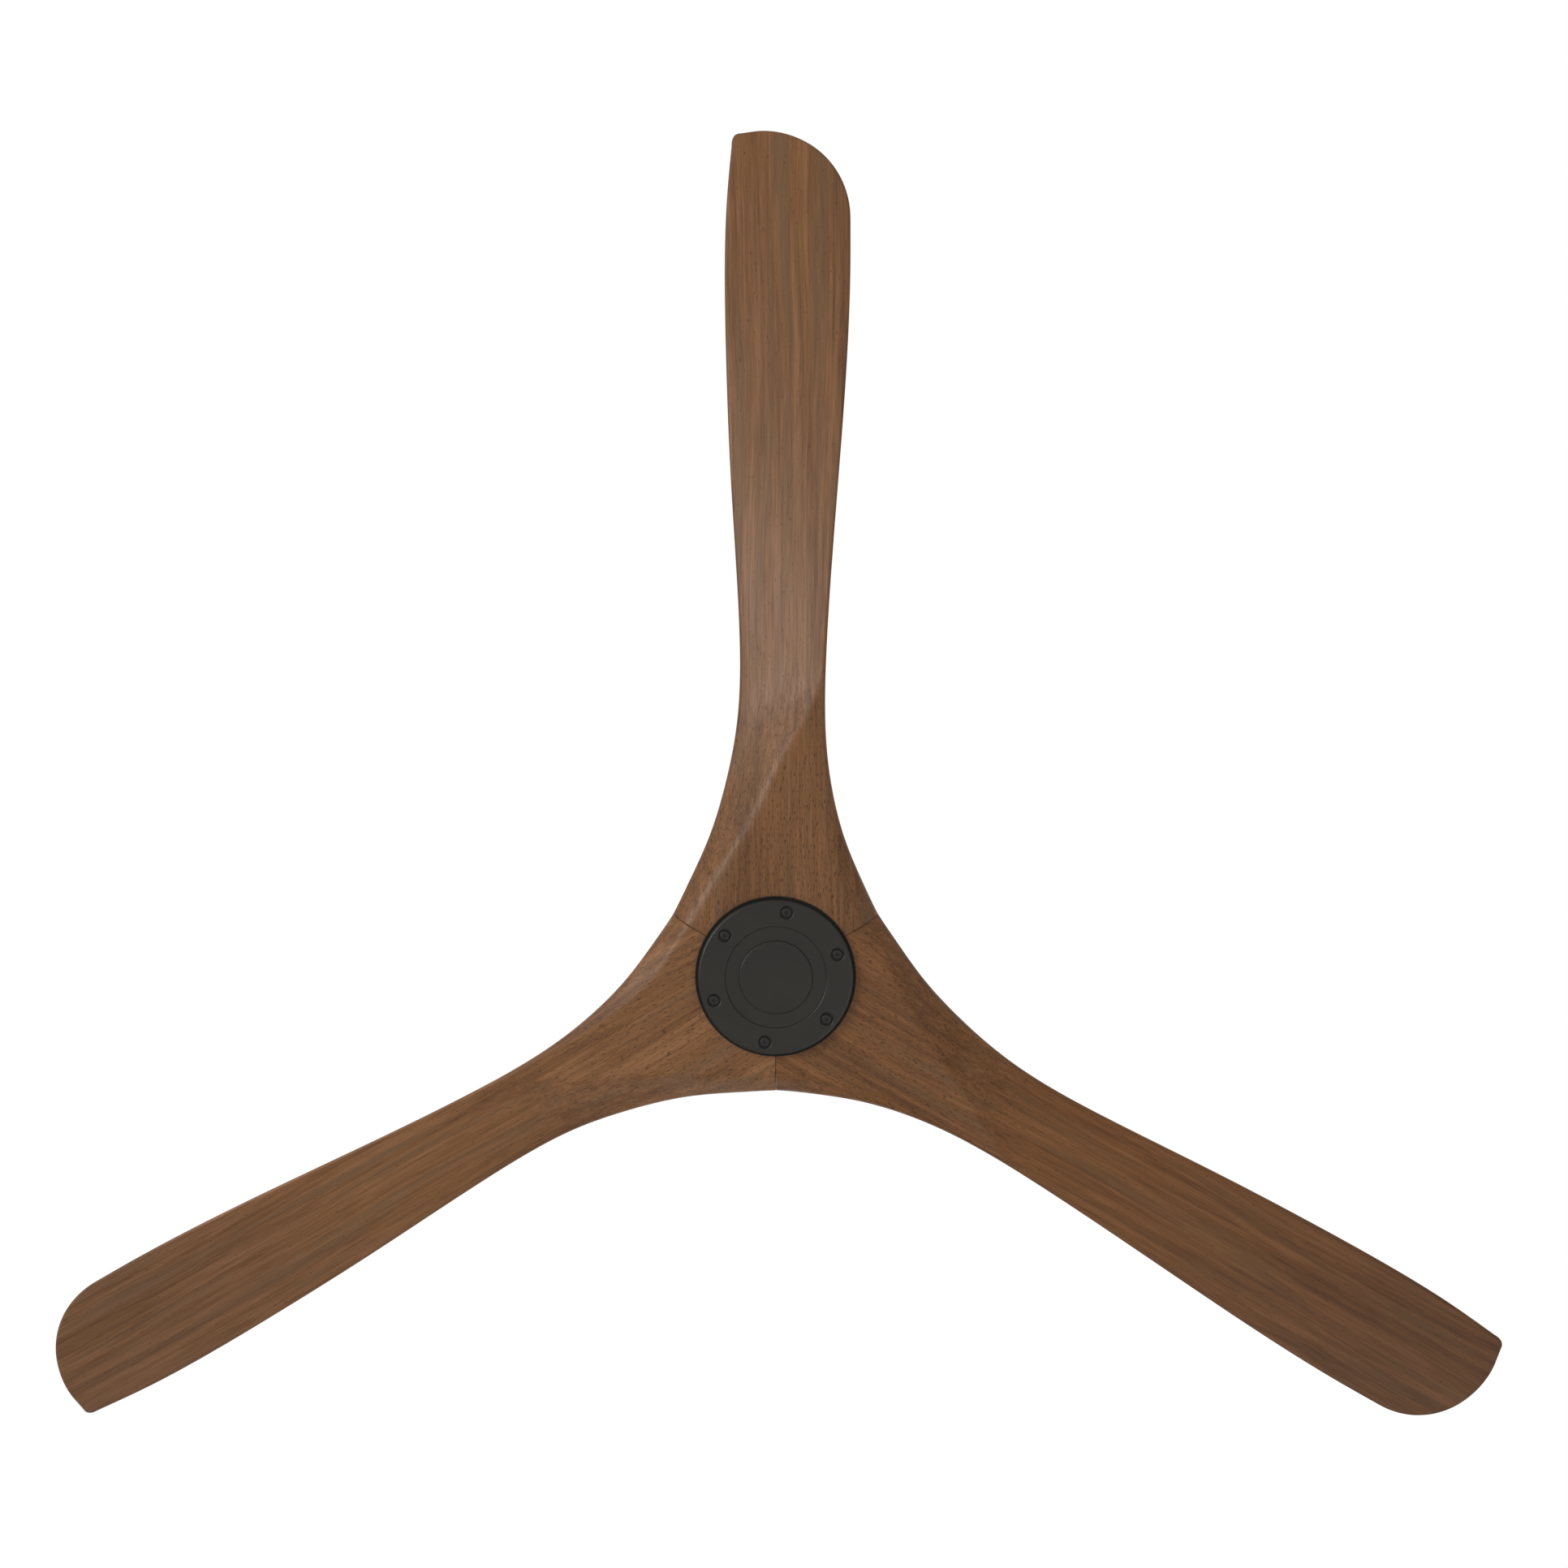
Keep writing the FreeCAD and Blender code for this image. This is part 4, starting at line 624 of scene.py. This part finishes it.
class FAN_OT_motor(bpy.types.Operator):
    """Finish the motor and its driver board"""
    bl_idname = "fan.motor"
    bl_label = "Finish motor"

    def execute(self, context):
        """Gives the pieces inside the casing and hub their finishes."""
        # die-cast aluminium, left as cast: light grey with a soft skin
        aluminium = grained("die_cast_aluminium", linear("#bcbcbd"), linear("#a7a8aa"),
                            1.6, 0.38, 0.52, 0.03, metallic=1.0)
        finish_nodes(("motor_top_cover", "stator_carrier"), aluminium)
        # stamped silicon steel sheets: bluish grey oxide on the edges
        laminations = grained("silicon_steel_stack", linear("#7c7e82"), linear("#6a6c70"),
                              0.5, 0.4, 0.55, 0.03, metallic=0.9)
        finish_nodes(("stator_core",), laminations)
        # enamelled copper wire, wound: reddish, glossy varnish
        copper = grained("enamelled_copper", linear("#b0623a"), linear("#964f2c"),
                         0.9, 0.25, 0.36, 0.08, metallic=0.8)
        finish_nodes(("stator_coils",), copper)
        # sintered ferrite, ground: nearly black, dull
        ferrite = grained("sintered_ferrite", linear("#39393b"), linear("#2e2e30"),
                          0.8, 0.5, 0.65, 0.02, metallic=0.2)
        finish_nodes(("magnets",), ferrite)
        # turned brass: bright yellow
        brass = grained("turned_brass", linear("#d0ae62"), linear("#bd9b52"),
                        0.6, 0.24, 0.36, 0.01, metallic=1.0)
        finish_nodes(("blade_inserts", "board_standoffs", "upper_bearing_cage", "lower_bearing_cage"), brass)
        # ground and polished chromium steel of the bearings: bright, nearly mirror-smooth
        bearing = grained("bearing_steel", linear("#cfd0d1"), linear("#c2c3c5"),
                          0.6, 0.12, 0.2, 0.004, metallic=1.0)
        finish_nodes([f"{place}_bearing_{part}" for place in ("upper", "lower")
                      for part in ("inner_ring", "outer_ring", "balls")], bearing)
        # glass-fibre board under green solder mask: smooth, glossy
        board = grained("green_solder_mask", linear("#1e5a39"), linear("#194d31"),
                        1.0, 0.3, 0.42, 0.01, ior=1.55)
        finish_nodes(("driver_board",), board)
        # moulded epoxy bodies of the electronic parts: black, matte
        epoxy = grained("moulded_epoxy", linear("#2b2b2d"), linear("#222224"),
                        0.8, 0.45, 0.6, 0.02, ior=1.55)
        finish_nodes(("board_components",), epoxy)
        return {"FINISHED"}


FLOOR_HALF = 400.0
# name, place, side, the setting with its power and its share of that, and the light that it leaves out;
# the small sheen lamp's reflection runs along the eased creases
LAMPS = (
    ("key", (2.3, 1.5, -2.0), 1.1, "key_power", 1.0, "visible_glossy"),
    ("sheen", (1.9, 0.7, -2.0), 0.9, "key_power", 0.7, "visible_diffuse"),
    ("fill", (-1.6, -1.2, -2.6), 2.0, "fill_power", 0.8, None),
    ("top", (1.2, -1.6, 1.6), 1.8, "fill_power", 1.0, None),
)
# below the hub, a little towards blade 1, and tilted back by about two degrees
CAMERA_FROM_HUB = (-0.0025, 0.2223, -1.3701)
CAMERA_LOOKS = (-0.0037, -0.0354, 1.0)
SENSOR = 36.0


def add_lamp(context, name, place, target, size, power):
    """Square area lamp aimed at a point, not seen by the camera itself."""
    data = bpy.data.lights.new(name, "AREA")
    data.shape = "SQUARE"
    data.size = size
    data.energy = power
    lamp = bpy.data.objects.new(name, data)
    context.scene.collection.objects.link(lamp)
    lamp.location = place
    lamp.rotation_mode = "QUATERNION"
    lamp.rotation_quaternion = (Vector(target) - Vector(place)).to_track_quat("-Z", "Y")
    lamp.visible_camera = False
    return lamp


def shown_rays(tree):
    """1 for what the camera, a reflection or a see-through piece shows, else 0."""
    path = add(tree, "ShaderNodeLightPath").outputs
    shown = path["Is Camera Ray"]
    for kind in ("Is Glossy Ray", "Is Transmission Ray"):
        shown = add(tree, "ShaderNodeMath", {0: shown, 1: path[kind]}, operation="MAXIMUM").outputs[0]
    return shown


def pale_world(context, level):
    """Even pale surroundings: white behind the fan, a gentler light on it."""
    world = bpy.data.worlds.new("studio")
    context.scene.world = world
    world.use_nodes = True
    tree = world.node_tree
    strength = add(tree, "ShaderNodeMapRange", {"Value": shown_rays(tree), "To Min": level, "To Max": 1.0})
    tree.links.new(strength.outputs["Result"], tree.nodes["Background"].inputs["Strength"])
    tree.nodes["Background"].inputs["Color"].default_value = (1.0, 1.0, 1.0, 1.0)


def pale_floor(context, level, lift):
    """Matte white paint on a smooth screed, which looks paler than the light that it throws back."""
    half = FLOOR_HALF
    mesh = bpy.data.meshes.new("floor")
    corners = [(-half, -half, level), (half, -half, level), (half, half, level), (-half, half, level)]
    mesh.from_pydata(corners, [], [(0, 1, 2, 3)])
    floor = bpy.data.objects.new("floor", mesh)
    context.scene.collection.objects.link(floor)
    material, tree, shader = new_material("matte_white_floor", Base_Color=linear("#dddcd9"), Roughness=0.9,
                                          Emission_Color=linear("#fdfdfc"))
    glow = add(tree, "ShaderNodeMath", {0: shown_rays(tree), 1: lift}, operation="MULTIPLY").outputs[0]
    tree.links.new(glow, shader.inputs["Emission Strength"])
    mesh.materials.append(material)


def add_camera(context, hub, lens):
    """Camera below the hub that looks up at it."""
    data = bpy.data.cameras.new("camera")
    data.lens = lens
    data.sensor_width = SENSOR
    data.clip_start, data.clip_end = 0.05, 100.0
    camera = bpy.data.objects.new("camera", data)
    context.scene.collection.objects.link(camera)
    forward = Vector(CAMERA_LOOKS).normalized()
    up = Vector((0, 1, 0)) - forward * forward.y
    up.normalize()
    turn = Matrix((forward.cross(up), up, -forward)).transposed()
    camera.matrix_world = Matrix.Translation(hub + Vector(CAMERA_FROM_HUB)) @ turn.to_4x4()
    context.scene.camera = camera


class FAN_OT_stage(bpy.types.Operator):
    """Set the floor, lamps and camera"""
    bl_idname = "fan.stage"
    bl_label = "Set stage"

    def execute(self, context):
        """Places a pale floor, soft lamps and a camera that looks up at the hub."""
        settings = context.scene.fan_stage
        context.scene.view_settings.view_transform = "Standard"
        pale_floor(context, -settings.floor_drop, settings.floor_lift)
        pale_world(context, settings.world_level)
        hub = Vector((0, 0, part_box("blade_1")[0].z))
        for name, place, size, power, share, left_out in LAMPS:
            lamp = add_lamp(context, name, place, hub, size, share * getattr(settings, power))
            if left_out:
                setattr(lamp, left_out, False)
        add_camera(context, hub, settings.lens)
        return {"FINISHED"}


class FAN_PT_panel(bpy.types.Panel):
    """Lists the fan's steps and settings"""
    bl_idname = "FAN_PT_panel"
    bl_label = "Wooden ceiling fan"
    bl_space_type = "VIEW_3D"
    bl_region_type = "UI"
    bl_category = "Fan"

    def draw(self, context):
        """Shows every step as a button and every setting below them."""
        for operator in OPERATORS:
            self.layout.operator(operator.bl_idname)
        for group in GROUPS:
            settings = getattr(context.scene, group)
            box = self.layout.box()
            for name in settings.__annotations__:
                box.prop(settings, name)


OPERATORS = (FAN_OT_blades, FAN_OT_hub, FAN_OT_casing, FAN_OT_hanger, FAN_OT_motor, FAN_OT_stage)
GROUPS = {"fan_blades": FanBladeSettings, "fan_finish": FanFinishSettings, "fan_stage": FanStageSettings}


def register():
    """Registers the settings, operators and panel."""
    for name, group in GROUPS.items():
        bpy.utils.register_class(group)
        setattr(bpy.types.Scene, name, PointerProperty(type=group))
    for operator in OPERATORS:
        bpy.utils.register_class(operator)
    bpy.utils.register_class(FAN_PT_panel)


def unregister():
    """Takes away what register added."""
    bpy.utils.unregister_class(FAN_PT_panel)
    for operator in reversed(OPERATORS):
        bpy.utils.unregister_class(operator)
    for name, group in reversed(GROUPS.items()):
        delattr(bpy.types.Scene, name)
        bpy.utils.unregister_class(group)


def main():
    register()
    for operator in OPERATORS:
        area, step = operator.bl_idname.split(".")
        getattr(getattr(bpy.ops, area), step)()
    bpy.context.view_layer.update()


if __name__ == "__main__":
    main()
